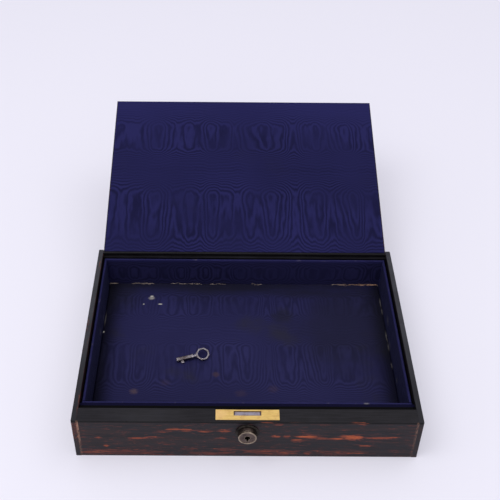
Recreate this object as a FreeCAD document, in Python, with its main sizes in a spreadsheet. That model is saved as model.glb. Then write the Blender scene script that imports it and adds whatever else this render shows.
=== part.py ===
import FreeCAD, Part
import math
import os
import re
import Sketcher
from FreeCAD import Rotation, Vector

# Vanity box: a shallow lidded box in dark streaked wood, lined with watered silk.
# The lid lies flush between the sides and behind the thick front, and turns on two pins.
# A radial slider lock is let into the front, and its hollow key lies on the floor of the box.
# Frame: X to the right, Y to the back, Z up; the origin is the middle of the underside.
# The lid is drawn open, where it rests on the bevel along the back board's top.

os.makedirs("parts", exist_ok=True)
doc = FreeCAD.newDocument("VanityBox")

# Driving sizes, in millimetres and degrees
sizes = {
    # carcase
    "box_width": 350.0,
    "box_depth": 258.0,
    "box_height": 55.5,
    "side_thickness": 5.5,
    "front_thickness": 17.0,
    "facing_thickness": 1.0,
    "back_thickness": 8.0,
    "base_thickness": 6.5,
    "base_play": 0.1,
    "baize_thickness": 1.0,
    "baize_inset": 1.0,
    "rebate_width": 2.5,
    "corner_round": 1.2,
    "arris_round": 0.5,
    "overcut": 1.0,
    # lining
    "liner_thickness": 2.7,
    "liner_foot": 3.2,
    "liner_side_gap": 1.7,
    "liner_back_gap": 1.3,
    "liner_round": 1.2,
    "lock_space": 11.0,
    "ledge_thickness": 4.0,
    "floor_thickness": 5.0,
    "floor_gap": 0.2,
    "floor_round": 1.0,
    # lid
    "lid_board_thickness": 4.2,
    "lid_lining_thickness": 1.0,
    "lid_gap": 0.5,
    "lid_rest_gap": 0.2,
    "lining_margin": 0.9,
    "lining_round": 0.4,
    "lid_opening": 163.0,
    "stop_gap": 0.1,
    "pivot_inset": 3.0,
    "cove_gap": 0.3,
    "pin_radius": 0.75,
    "pin_grip": 8.0,
    "pin_play": 0.05,
    # lock plate, case and bolt
    "lock_drop": 15.4,
    "plate_width": 63.5,
    "plate_depth": 13.7,
    "plate_setback": 3.0,
    "plate_thickness": 2.0,
    "plate_bend": 1.0,
    "plate_height": 34.0,
    "mortise_play": 0.15,
    "slot_width": 27.6,
    "slot_depth": 5.7,
    "slot_setback": 8.4,
    "bolt_play": 0.25,
    "bolt_sink": 0.8,
    "bolt_height": 24.5,
    "bolt_head_height": 12.0,
    "bolt_body_width": 22.0,
    "case_wall": 1.3,
    "case_height": 28.0,
    "case_setback": 6.0,
    "lug_width": 7.0,
    # barrel, core and sliders
    "nozzle_radius": 9.25,
    "nozzle_reach": 8.0,
    "nozzle_recess": 0.5,
    "nozzle_lip": 1.3,
    "nozzle_face": 1.4,
    "nozzle_round": 0.4,
    "nozzle_rim": 2.0,
    "nozzle_groove": 0.4,
    "flange_radius": 12.5,
    "flange_thickness": 1.8,
    "ring_radius": 11.9,
    "ring_thickness": 2.0,
    "core_radius": 5.5,
    "core_play": 0.07,
    "core_bore": 3.0,
    "core_disc_radius": 7.0,
    "core_disc_thickness": 1.0,
    "core_back_thickness": 0.8,
    "locking_plate_thickness": 1.2,
    "locking_plate_radius": 7.4,
    "locking_plate_inner": 4.3,
    "locking_plate_split": 0.2,
    "spigot_length": 3.0,
    "crank_radius": 3.5,
    "crank_pin_radius": 1.2,
    "crank_pin_length": 4.2,
    "crank_play": 0.95,
    "drill_pin_radius": 1.0,
    "drill_pin_sink": 0.5,
    "slider_count": 6.0,
    "slider_thickness": 0.8,
    "slider_outer": 5.2,
    "slider_play": 0.12,
    "slider_sink": 1.7,
    "slider_tab_length": 1.6,
    "slider_travel": 2.0,
    "spring_wire_radius": 0.2,
    "spring_radius": 1.8,
    "spring_turns": 6.0,
    # screws
    "screw_radius": 1.2,
    "screw_head_radius": 2.4,
    "screw_length": 10.0,
    "screw_slot": 0.6,
    "screw_inset": 4.0,
    "screw_margin": 9.0,
    "small_screw_radius": 0.8,
    "small_screw_head_radius": 1.5,
    "small_screw_head_height": 0.9,
    "barrel_screw_circle": 9.95,
    # key
    "key_length": 37.0,
    "key_shank_radius": 2.6,
    "key_shank_length": 17.4,
    "key_bore_radius": 1.15,
    "key_bore_depth": 13.0,
    "key_neck_radius": 1.2,
    "key_collar_radius": 3.1,
    "key_bead_radius": 2.2,
    "key_collar_length": 1.4,
    "key_collar_gap": 1.9,
    "key_bow_radius": 7.1,
    "key_bow_hole": 5.7,
    "key_bow_thickness": 2.4,
    "key_bow_round": 0.5,
    "key_bit_length": 2.8,
    "key_bit_width": 1.8,
    "key_bit_reach": 2.5,
    "key_bit_setback": 4.5,
    "key_slot_width": 0.8,
    "key_slot_depth": 2.6,
    "key_slot_step": 0.3,
    "keyhole_play": 0.3,
    "key_across": -76.5,
    "key_along": -11.4,
    "key_heading": 16.0,
    "key_roll": 20.0,
    "key_seat_gap": 0.1,
}

# Places and sizes that follow from the driving ones
places = {
    "half_width": "box_width / 2",
    "front_face": "-box_depth / 2",
    "front_inner": "front_face + front_thickness",
    "back_face": "box_depth / 2",
    "back_inner": "back_face - back_thickness",
    "inner_half": "half_width - side_thickness",
    "base_half": "inner_half + rebate_width",
    "base_front": "front_inner - rebate_width",
    "base_back": "back_inner + rebate_width",
    "base_top": "baize_thickness + base_thickness",
    "floor_top": "base_top + floor_thickness",
    # lid
    "lid_half_thickness": "lid_board_thickness / 2",
    "lid_closed_bottom": "box_height - lid_board_thickness - lid_lining_thickness",
    "seat_level": "lid_closed_bottom - lid_rest_gap",
    "pivot_y": "back_face - pivot_inset",
    "pivot_z": "box_height - lid_half_thickness",
    "lid_slope": "180 - lid_opening",
    "stop_rise": "(pivot_inset * sin(lid_slope) - lid_half_thickness - stop_gap) / cos(lid_slope)",
    "stop_level": "pivot_z + stop_rise",
    "lid_half_width": "inner_half - lid_gap",
    "lid_length": "pivot_y - front_inner - lid_gap",
    # lining
    "liner_front_outer": "front_inner + lock_space",
    "liner_front_inner": "liner_front_outer + liner_thickness",
    "liner_back_outer": "back_inner - liner_back_gap",
    "liner_back_inner": "liner_back_outer - liner_thickness",
    "liner_side_outer": "inner_half - liner_side_gap",
    "liner_height": "seat_level - base_top",
    "liner_run": "liner_back_inner - liner_front_inner",
    "floor_half": "liner_side_outer - liner_foot - floor_gap",
    # lock plate, case and bolt
    "lock_axis": "box_height - lock_drop",
    "plate_half": "plate_width / 2",
    "plate_front": "front_face + plate_setback",
    "plate_rear": "plate_front + plate_depth",
    "plate_inner": "plate_rear - plate_thickness",
    "plate_under": "box_height - plate_thickness",
    "plate_bottom": "box_height - plate_height",
    "slot_front": "front_face + slot_setback",
    "slot_back": "slot_front + slot_depth",
    "bolt_half": "slot_width / 2 - bolt_play",
    "bolt_top": "box_height - bolt_sink",
    "bolt_bottom": "bolt_top - bolt_height",
    "crank_level": "lock_axis - crank_radius",
    "crank_slot_half": "crank_radius + crank_pin_radius + bolt_play",
    "crank_slot_rise": "crank_pin_radius + crank_play",
    "case_front": "front_face + case_setback",
    "case_half": "bolt_half + bolt_play + case_wall",
    "case_bottom": "box_height - case_height",
    "lug_half": "case_half + lug_width",
    "lug_front": "plate_inner - case_wall",
    "lug_screw_x": "(case_half + lug_half) / 2",
    "screw_spread": "plate_half - screw_inset",
    "screw_high": "box_height - screw_margin",
    "screw_low": "plate_bottom + screw_margin - plate_thickness",
    # barrel and core, measured from the nozzle's end
    "nozzle_end": "front_face - nozzle_reach",
    "barrel_length": "nozzle_reach + case_setback",
    "keyhole_radius": "key_shank_radius + keyhole_play",
    "keyway_reach": "key_shank_radius + key_bit_reach + keyhole_play",
    "keyway_half": "key_bit_width / 2 + slider_play",
    "core_hole": "core_radius + core_play",
    "core_start": "nozzle_recess + nozzle_face + core_play",
    "core_shoulder": "barrel_length + case_wall + core_play",
    "core_end": "core_shoulder + core_disc_thickness",
    "core_floor": "core_shoulder - core_back_thickness",
    "locking_plate_end": "barrel_length - spigot_length",
    "locking_plate_start": "locking_plate_end - locking_plate_thickness",
    "groove_radius": "locking_plate_inner - slider_play",
    "slider_start": "core_start + slider_sink",
    "slider_end": "core_floor - slider_travel - slider_play",
    "bit_front": "key_bit_setback + key_bit_length",
    "key_depth": "core_start + bit_front + slider_play",
    "slider_tab_start": "key_depth - key_slot_depth",
    "slider_tab_end": "slider_tab_start + slider_tab_length",
    "core_keyway": "key_depth - key_bit_setback + slider_play",
    "slider_inner": "drill_pin_radius + 2 * slider_play",
    "slider_slot_half": "slider_thickness / 2 + slider_play",
    # key
    "collar_end": "key_shank_length + key_collar_length",
    "collar_two": "collar_end + key_collar_gap",
    "neck_start": "collar_two + key_collar_length",
    "bow_centre": "key_length - key_bow_radius",
    "neck_end": "bow_centre - (key_bow_radius + key_bow_hole) / 2",
    "bow_seat": "key_bow_radius * sin(key_roll) + key_bow_thickness / 2 * cos(key_roll)",
    "key_climb": "(bow_seat - key_shank_radius) / bow_centre",
    "key_level": "floor_top + key_seat_gap + key_shank_radius",
}


def spell(text, own=()):
    """Put its sheet's name before each cell's name in an expression."""
    def full_name(match):
        word = match.group()
        if word in sizes:
            return "Sizes." + word
        if word in places and word not in own:
            return "Places." + word
        return word
    return re.sub(r"[a-z][a-z_]*", full_name, text)


def add_sheet(name, cells):
    """Make a spreadsheet with one named cell a row."""
    sheet = doc.addObject("Spreadsheet::Sheet", name)
    for row, (alias, content) in enumerate(cells.items(), start=1):
        sheet.set("A%d" % row, alias)
        sheet.set("B%d" % row, content)
        sheet.setAlias("B%d" % row, alias)
    doc.recompute()
    return sheet


size_sheet = add_sheet("Sizes", {alias: str(number) for alias, number in sizes.items()})
place_sheet = add_sheet("Places", {alias: "=" + spell(text, places) for alias, text in places.items()})


def number(alias):
    """Read a cell as a plain number."""
    sheet = size_sheet if alias in sizes else place_sheet
    return float(sheet.get(alias))


def bind(item, path, text):
    """Bind one property of an object to an expression in the cells' names."""
    item.setExpression(path, spell(text))


def place(item, x, y, z, rotation=None):
    """Turn an object, and bind where its origin lies."""
    if rotation is not None:
        item.Placement = FreeCAD.Placement(Vector(0, 0, 0), rotation)
    bind(item, "Placement.Base.x", x)
    bind(item, "Placement.Base.y", y)
    bind(item, "Placement.Base.z", z)


# Turns that lay an object's own Z axis along the frame's axes
along_x = Rotation(Vector(0, 1, 0), 90)
along_y = Rotation(Vector(1, 0, 0), -90)
towards_front = Rotation(Vector(1, 0, 0), 90)
half_turn = Rotation(Vector(0, 0, 1), 180)


# Primitives and booleans

def block(name, left, right, front, back, bottom, top):
    """A box between two opposite corners."""
    item = doc.addObject("Part::Box", name)
    bind(item, "Length", "(%s) - (%s)" % (right, left))
    bind(item, "Width", "(%s) - (%s)" % (back, front))
    bind(item, "Height", "(%s) - (%s)" % (top, bottom))
    place(item, left, front, bottom)
    return item


def rod(name, turn, radius, length, x, y, z):
    """A cylinder that starts at a point and runs along its turned axis."""
    item = doc.addObject("Part::Cylinder", name)
    bind(item, "Radius", radius)
    bind(item, "Height", length)
    place(item, x, y, z, turn)
    return item


def cone(name, turn, radius, end_radius, length, x, y, z):
    """A cone that starts at a point and runs along its turned axis."""
    item = doc.addObject("Part::Cone", name)
    bind(item, "Radius1", radius)
    bind(item, "Radius2", end_radius)
    bind(item, "Height", length)
    place(item, x, y, z, turn)
    return item


def fuse(name, *members):
    item = doc.addObject("Part::MultiFuse", name)
    item.Shapes = list(members)
    return item


def cut(name, base, *tools):
    item = doc.addObject("Part::Cut", name)
    item.Base = base
    item.Tool = tools[0] if len(tools) == 1 else fuse(name + "_tools", *tools)
    return item


def group(name, *members):
    """Separate solids that share one node."""
    item = doc.addObject("Part::Compound", name)
    item.Links = list(members)
    return item


# Bodies, sketches and features

def new_body(name, x, y, z, rotation=None):
    body = doc.addObject("PartDesign::Body", name)
    place(body, x, y, z, rotation)
    return body


def new_sketch(body, role, name):
    sketch = body.newObject("Sketcher::SketchObject", name)
    plane = [feature for feature in body.Origin.OriginFeatures if feature.Role == role][0]
    sketch.AttachmentSupport = [(plane, "")]
    sketch.MapMode = "FlatFace"
    return sketch


def measure(sketch, kind, line, point, text):
    """Bind a point's distance from the sketch's origin, along one axis."""
    if text == "0":
        axis = -2 if kind == "DistanceX" else -1
        sketch.addConstraint(Sketcher.Constraint("PointOnObject", line, point, axis))
        return
    index = sketch.addConstraint(Sketcher.Constraint(kind, -1, 1, line, point, 1.0))
    bind(sketch, "Constraints[%d]" % index, text)


def outline(sketch, points):
    """A closed outline through points, each an (across, up) pair of expressions."""
    count = len(points)
    corners = [Vector(index, (index * index) % 7, 0) for index in range(count)]
    for index in range(count):
        sketch.addGeometry(Part.LineSegment(corners[index], corners[(index + 1) % count]), False)
    for index in range(count):
        sketch.addConstraint(Sketcher.Constraint("Coincident", index, 2, (index + 1) % count, 1))
    for index, (across, up) in enumerate(points):
        measure(sketch, "DistanceX", index, 1, across)
        measure(sketch, "DistanceY", index, 1, up)


def rectangle(sketch, left, bottom, right, top):
    outline(sketch, [(left, bottom), (right, bottom), (right, top), (left, top)])


def circle(sketch, radius, across, up):
    sketch.addGeometry(Part.Circle(Vector(1, 1, 0), Vector(0, 0, 1), 1.0), False)
    measure(sketch, "DistanceX", 0, 3, across)
    measure(sketch, "DistanceY", 0, 3, up)
    index = sketch.addConstraint(Sketcher.Constraint("Radius", 0, 1.0))
    bind(sketch, "Constraints[%d]" % index, radius)


def pad(body, name, sketch, length, backwards=False):
    feature = body.newObject("PartDesign::Pad", name)
    feature.Profile = sketch
    feature.Reversed = backwards
    bind(feature, "Length", length)
    sketch.Visibility = False
    return feature


def pocket(body, name, sketch, length, backwards=False):
    """Cut a pocket, and make sure that it takes material away."""
    doc.recompute()
    before = body.Shape.Volume
    feature = body.newObject("PartDesign::Pocket", name)
    feature.Profile = sketch
    feature.Reversed = backwards
    bind(feature, "Length", length)
    doc.recompute()
    if body.Shape.Volume >= before:
        raise RuntimeError(name + " cuts nothing")
    return feature


def revolve(body, name, sketch):
    feature = body.newObject("PartDesign::Revolution", name)
    feature.Profile = sketch
    feature.ReferenceAxis = (sketch, ["V_Axis"])
    feature.Angle = 360.0
    return feature


def fillet(body, name, radius, chosen):
    """Round the edges of the body that the test picks."""
    doc.recompute()
    tip = body.Tip
    edges = ["Edge%d" % index for index, edge in enumerate(tip.Shape.Edges, start=1) if chosen(edge.BoundBox)]
    feature = body.newObject("PartDesign::Fillet", name)
    feature.Base = (tip, edges)
    bind(feature, "Radius", radius)
    return feature


def near(first, second):
    return abs(first - second) < 0.001


# Carcase

def side_board(name, side):
    """A side runs the whole depth and is rebated for the base; side is -1 on the left."""
    left = "-half_width" if side < 0 else "inner_half"
    body = new_body(name, left, "front_face", "0")
    board = new_sketch(body, "XY_Plane", name + "_plan")
    rectangle(board, "0", "0", "side_thickness", "box_depth")
    pad(body, name + "_board", board, "box_height")
    rebate = new_sketch(body, "XY_Plane", name + "_rebate_plan")
    rebate_left = "side_thickness - rebate_width" if side < 0 else "0"
    rebate_right = "side_thickness" if side < 0 else "rebate_width"
    rectangle(rebate, rebate_left, "base_front - front_face", rebate_right, "base_back - front_face")
    pocket(body, name + "_rebate", rebate, "base_top", backwards=True)
    hole = new_sketch(body, "YZ_Plane", name + "_pin_place")
    circle(hole, "pin_radius", "box_depth - pivot_inset", "pivot_z")
    pocket(body, name + "_pin_hole", hole, "side_thickness", backwards=True)
    outer = 0.0 if side < 0 else number("side_thickness")
    top = number("box_height")
    fillet(body, name + "_corners", "corner_round",
           lambda edge: near(edge.XMin, outer) and near(edge.XMax, outer) and near(edge.ZLength, top))
    fillet(body, name + "_arrises", "arris_round",
           lambda edge: near(edge.ZMin, top) and edge.YLength > number("box_depth") / 2)
    return body


def front_facing():
    body = new_body("front_facing", "-inner_half", "front_face", "0")
    face = new_sketch(body, "XY_Plane", "facing_plan")
    rectangle(face, "0", "0", "2 * inner_half", "facing_thickness")
    pad(body, "facing_sheet", face, "box_height")
    bore = new_sketch(body, "XZ_Plane", "facing_bore_place")
    circle(bore, "nozzle_radius + mortise_play", "inner_half", "lock_axis")
    pocket(body, "facing_bore", bore, "facing_thickness")
    levels = (0.0, number("box_height"))
    fillet(body, "facing_arrises", "min(arris_round; facing_thickness / 2)",
           lambda edge: near(edge.YMax, 0.0) and edge.XLength > number("inner_half")
           and (near(edge.ZMin, levels[0]) or near(edge.ZMin, levels[1])) and near(edge.ZLength, 0.0))
    return body


def front_board():
    """The front is mortised from its top and its inner face for the lock."""
    board = block("front_blank", "-inner_half", "inner_half",
                  "front_face + facing_thickness", "front_inner", "0", "box_height")
    rebate = block("front_rebate", "-inner_half - overcut", "inner_half + overcut",
                   "base_front", "front_inner + overcut", "-overcut", "base_top")
    top_recess = block("plate_recess", "-plate_half - mortise_play", "plate_half + mortise_play",
                       "plate_front - mortise_play", "front_inner + overcut",
                       "plate_under", "box_height + overcut")
    back_recess = block("back_plate_recess", "-plate_half - mortise_play", "plate_half + mortise_play",
                        "plate_inner", "front_inner + overcut",
                        "plate_bottom - mortise_play", "box_height + overcut")
    case_mortise = block("case_mortise", "-case_half - mortise_play", "case_half + mortise_play",
                         "case_front - mortise_play", "plate_inner + overcut",
                         "case_bottom - mortise_play", "box_height + overcut")
    lug_mortise = block("lug_mortise", "-lug_half - mortise_play", "lug_half + mortise_play",
                        "lug_front - small_screw_head_height - mortise_play", "plate_inner + overcut",
                        "case_bottom - mortise_play", "box_height + overcut")
    flange_recess = rod("flange_recess", along_y, "flange_radius + mortise_play",
                        "flange_thickness + 2 * mortise_play + overcut",
                        "0", "case_front - flange_thickness - mortise_play", "lock_axis")
    bore = rod("front_bore", along_y, "nozzle_radius + mortise_play", "front_thickness",
               "0", "front_face", "lock_axis")
    pilots = [rod("pilot_%s_%s" % (across, up), along_y, "screw_radius", "screw_length",
                  x, "plate_rear - screw_length", z)
              for across, x in (("left", "-screw_spread"), ("right", "screw_spread"))
              for up, z in (("low", "screw_low"), ("high", "screw_high"))]
    return cut("front_board", board, rebate, top_recess, back_recess, case_mortise, lug_mortise,
               flange_recess, bore, *pilots)


def back_board():
    """The back's top is hollowed for the lid's round edge, and bevelled outside it as the lid's stop."""
    board = block("back_blank", "-inner_half", "inner_half", "back_inner", "back_face", "0", "stop_level")
    rebate = block("back_rebate", "-inner_half - overcut", "inner_half + overcut",
                   "back_inner - overcut", "base_back", "-overcut", "base_top")
    step = block("back_step", "-inner_half - overcut", "inner_half + overcut",
                 "back_inner - overcut", "pivot_y", "seat_level", "box_height")
    cove = rod("back_cove", along_x, "lid_half_thickness + cove_gap", "2 * inner_half + 2 * overcut",
               "-inner_half - overcut", "pivot_y", "pivot_z")
    bevel = doc.addObject("Part::Box", "back_bevel")
    bind(bevel, "Length", "2 * inner_half + 2 * overcut")
    bind(bevel, "Width", "back_thickness")
    bind(bevel, "Height", "back_thickness")
    depth = "(lid_half_thickness + stop_gap)"
    place(bevel, "-inner_half - overcut", "pivot_y + %s * sin(lid_slope)" % depth,
          "pivot_z - %s * cos(lid_slope)" % depth, Rotation(Vector(1, 0, 0), number("lid_slope")))
    return cut("back_board", board, rebate, step, cove, bevel)


def base():
    board = block("base_board", "-base_half + base_play", "base_half - base_play",
                  "base_front + base_play", "base_back - base_play", "baize_thickness", "base_top")
    cloth = block("base_baize", "-base_half + baize_inset", "base_half - baize_inset",
                  "base_front + baize_inset", "base_back - baize_inset", "0", "baize_thickness")
    return [board, cloth]


# Lining

def front_ledge():
    return block("front_ledge", "-inner_half", "inner_half", "front_inner", "liner_front_outer",
                 "seat_level - ledge_thickness", "seat_level")


def cross_liner(name, front):
    """A liner wall across the box, with its top edge rounded."""
    body = new_body(name, "-liner_side_outer", front, "base_top")
    plan = new_sketch(body, "XY_Plane", name + "_plan")
    rectangle(plan, "0", "0", "2 * liner_side_outer", "liner_thickness")
    pad(body, name + "_card", plan, "liner_height")
    top = number("liner_height")
    fillet(body, name + "_edge", "min(liner_round; liner_thickness * 0.45)",
           lambda edge: near(edge.ZMin, top) and edge.XLength > number("liner_side_outer"))
    return body


def side_liner(name, side):
    """A liner wall along one side, thicker at its foot; side is -1 on the left."""
    if side < 0:
        body = new_body(name, "-liner_side_outer", "liner_front_inner", "base_top")
    else:
        body = new_body(name, "liner_side_outer", "liner_back_inner", "base_top", half_turn)
    section = new_sketch(body, "XZ_Plane", name + "_section")
    outline(section, [
        ("0", "0"), ("liner_foot", "0"),
        ("liner_thickness", "liner_height"), ("0", "liner_height")])
    pad(body, name + "_card", section, "liner_run", backwards=True)
    top = number("liner_height")
    fillet(body, name + "_edge", "min(liner_round; liner_thickness * 0.45)",
           lambda edge: near(edge.ZMin, top) and edge.YLength > number("liner_run") / 2)
    return body


def floor_panel():
    body = new_body("floor_panel", "-floor_half", "liner_front_inner + floor_gap", "base_top")
    plan = new_sketch(body, "XY_Plane", "floor_plan")
    rectangle(plan, "0", "0", "2 * floor_half", "liner_run - 2 * floor_gap")
    pad(body, "floor_card", plan, "floor_thickness")
    top = number("floor_thickness")
    fillet(body, "floor_edge", "floor_round", lambda edge: near(edge.ZMin, top))
    return body


# Lid, drawn in its own frame: origin on the pins' axis, Y towards its front edge, Z on the silk's side

def lid_body(name, left, start, level):
    """A body that is turned about the pins to where the lid stands open."""
    slope = Rotation(Vector(1, 0, 0), number("lid_slope"))
    body = new_body(name, left, "pivot_y + (%s) * cos(lid_slope) - (%s) * sin(lid_slope)" % (start, level),
                    "pivot_z + (%s) * sin(lid_slope) + (%s) * cos(lid_slope)" % (start, level), slope)
    return body


def lid_board():
    body = lid_body("lid_board", "-lid_half_width", "0", "-lid_half_thickness")
    plan = new_sketch(body, "XY_Plane", "lid_plan")
    rectangle(plan, "0", "0", "2 * lid_half_width", "lid_length")
    pad(body, "lid_panel", plan, "lid_board_thickness")
    round_edge = body.newObject("PartDesign::AdditiveCylinder", "lid_round_edge")
    bind(round_edge, "Radius", "lid_half_thickness")
    bind(round_edge, "Height", "2 * lid_half_width")
    place(round_edge, "0", "0", "lid_half_thickness", along_x)
    for name, x in (("left", "0"), ("right", "2 * lid_half_width - pin_grip - lid_gap")):
        hole = body.newObject("PartDesign::SubtractiveCylinder", "lid_pin_hole_" + name)
        bind(hole, "Radius", "pin_radius + pin_play")
        bind(hole, "Height", "pin_grip + lid_gap")
        place(hole, x, "0", "lid_half_thickness", along_x)
    front = number("lid_length")
    fillet(body, "lid_front_arrises", "arris_round",
           lambda edge: near(edge.YMin, front) and edge.XLength > number("lid_half_width"))
    return body


def lid_lining():
    """The silk-covered card on the lid's inner face."""
    body = lid_body("lid_lining", "-lid_half_width + lining_margin", "cove_gap", "lid_half_thickness")
    plan = new_sketch(body, "XY_Plane", "lining_plan")
    rectangle(plan, "0", "0", "2 * (lid_half_width - lining_margin)", "lid_length - lining_margin - cove_gap")
    pad(body, "lining_card", plan, "lid_lining_thickness")
    top = number("lid_lining_thickness")
    fillet(body, "lining_edge", "min(lining_round; lid_lining_thickness / 2)",
           lambda edge: near(edge.ZMin, top))
    return body


def hinge_pins():
    length = "side_thickness + pin_grip"
    left = rod("hinge_pin_left", along_x, "pin_radius", length, "-half_width", "pivot_y", "pivot_z")
    right = rod("hinge_pin_right", along_x, "pin_radius", length, "half_width - side_thickness - pin_grip",
                "pivot_y", "pivot_z")
    return group("hinge_pins", left, right)


# Lock

def slotted_screw(name, x, y, z, radius, head_radius, head_height, length):
    """A countersunk slotted screw: its head's top is at y, and its shank runs to the front."""
    head = cone(name + "_head", towards_front, head_radius, radius, head_height, x, y, z)
    shank = rod(name + "_shank", towards_front, radius, length, x, y, z)
    whole = fuse(name + "_whole", head, shank)
    slot = block(name + "_slot", "%s - %s" % (x, head_radius), "%s + %s" % (x, head_radius),
                 "%s - %s / 3" % (y, head_height), "%s + overcut" % y,
                 "%s - screw_slot / 2" % z, "%s + screw_slot / 2" % z)
    return cut(name, whole, slot)


lock_screw_places = [("low_left", "-screw_spread", "screw_low"),
                     ("low_right", "screw_spread", "screw_low"),
                     ("high_left", "-screw_spread", "screw_high"),
                     ("high_right", "screw_spread", "screw_high")]
case_screw_places = [("low_left", "-lug_screw_x", "case_bottom + lug_width / 2"),
                     ("low_right", "lug_screw_x", "case_bottom + lug_width / 2"),
                     ("high_left", "-lug_screw_x", "plate_under - lug_width / 2"),
                     ("high_right", "lug_screw_x", "plate_under - lug_width / 2")]
barrel_screw_places = [("low", "-barrel_screw_circle * sin(45)", "lock_axis - barrel_screw_circle * cos(45)"),
                       ("high", "barrel_screw_circle * sin(45)", "lock_axis + barrel_screw_circle * cos(45)")]


def lock_plate():
    """The top plate and the back plate are one piece."""
    top = block("top_plate", "-plate_half", "plate_half", "plate_front", "plate_rear",
                "plate_under", "box_height")
    back = block("back_plate", "-plate_half", "plate_half", "plate_inner", "plate_rear",
                 "plate_bottom", "box_height")
    slot = block("bolt_slot", "-slot_width / 2", "slot_width / 2", "slot_front", "slot_back",
                 "plate_under - overcut", "box_height + overcut")
    bend_corner = block("bend_corner", "-plate_half - overcut", "plate_half + overcut",
                        "plate_rear - plate_bend", "plate_rear + overcut",
                        "box_height - plate_bend", "box_height + overcut")
    bend_round = rod("bend_round", along_x, "plate_bend", "2 * plate_half + 2 * overcut",
                     "-plate_half - overcut", "plate_rear - plate_bend", "box_height - plate_bend")
    holes = [cut("bend_waste", bend_corner, bend_round)]
    for name, x, z in lock_screw_places:
        holes.append(rod("plate_hole_" + name, along_y, "screw_radius", "plate_thickness",
                         x, "plate_inner", z))
        holes.append(cone("plate_sink_" + name, along_y, "screw_radius", "screw_head_radius",
                          "screw_head_radius - screw_radius", x,
                          "plate_rear - screw_head_radius + screw_radius", z))
    for name, x, z in case_screw_places:
        holes.append(rod("plate_thread_" + name, along_y, "small_screw_radius",
                         "plate_thickness", x, "plate_inner", z))
    return cut("lock_plate", fuse("plate_metal", top, back), slot, *holes)


def lock_screws():
    screws = [slotted_screw("lock_screw_" + name, x, "plate_rear", z, "screw_radius", "screw_head_radius",
                            "(screw_head_radius - screw_radius)", "screw_length")
              for name, x, z in lock_screw_places]
    return group("lock_screws", *screws)


def lock_case():
    shell = block("case_shell", "-case_half", "case_half", "case_front", "plate_inner",
                  "case_bottom", "plate_under")
    lugs = block("case_lugs", "-lug_half", "lug_half", "lug_front", "plate_inner",
                 "case_bottom", "plate_under")
    spigot = rod("case_spigot", along_y, "locking_plate_radius", "spigot_length",
                 "0", "case_front - spigot_length", "lock_axis")
    inside = block("case_inside", "-bolt_half - bolt_play", "bolt_half + bolt_play", "case_front + case_wall",
                   "plate_inner + overcut", "case_bottom + case_wall", "plate_under + overcut")
    bore = rod("case_bore", along_y, "core_hole", "spigot_length + 2 * case_wall",
               "0", "case_front - spigot_length", "lock_axis")
    holes = [rod("lug_hole_" + name, along_y, "small_screw_radius", "case_wall", x, "lug_front", z)
             for name, x, z in case_screw_places]
    holes += [rod("wall_hole_" + name, along_y, "small_screw_radius", "case_wall", x, "case_front", z)
              for name, x, z in barrel_screw_places]
    return cut("lock_case", fuse("case_metal", shell, lugs, spigot), inside, bore, *holes)


def round_head_screw(name, turn, x, y, z, length):
    """A small cheese-head screw along Y; y is where its head meets the work."""
    head = rod(name + "_head", turn, "small_screw_head_radius", "small_screw_head_height", x, y, z)
    back = towards_front if turn is along_y else along_y
    shank = rod(name + "_shank", back, "small_screw_radius", length, x, y, z)
    return fuse(name, head, shank)


def case_screws():
    screws = [round_head_screw("case_screw_" + name, towards_front, x, "lug_front", z,
                               "case_wall + plate_thickness - mortise_play")
              for name, x, z in case_screw_places]
    return group("case_screws", *screws)


def barrel_screws():
    screws = [round_head_screw("barrel_screw_" + name, along_y, x, "case_front + case_wall", z,
                               "case_wall + flange_thickness - mortise_play")
              for name, x, z in barrel_screw_places]
    return group("barrel_screws", *screws)


def lock_bolt():
    """The bolt's head fills the slot in the top plate, and the crank pin works in its body."""
    head = block("bolt_head", "-bolt_half", "bolt_half", "slot_front + bolt_play", "slot_back - bolt_play",
                 "bolt_top - bolt_head_height", "bolt_top")
    tail = block("bolt_tail", "-bolt_body_width / 2", "bolt_body_width / 2", "slot_front + bolt_play",
                 "slot_back - bolt_play", "bolt_bottom", "bolt_top - bolt_head_height")
    slot = block("crank_slot", "-crank_slot_half", "crank_slot_half", "slot_front", "slot_back",
                 "crank_level - crank_slot_rise", "crank_level + crank_slot_rise")
    return cut("lock_bolt", fuse("bolt_metal", head, tail), slot)


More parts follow.
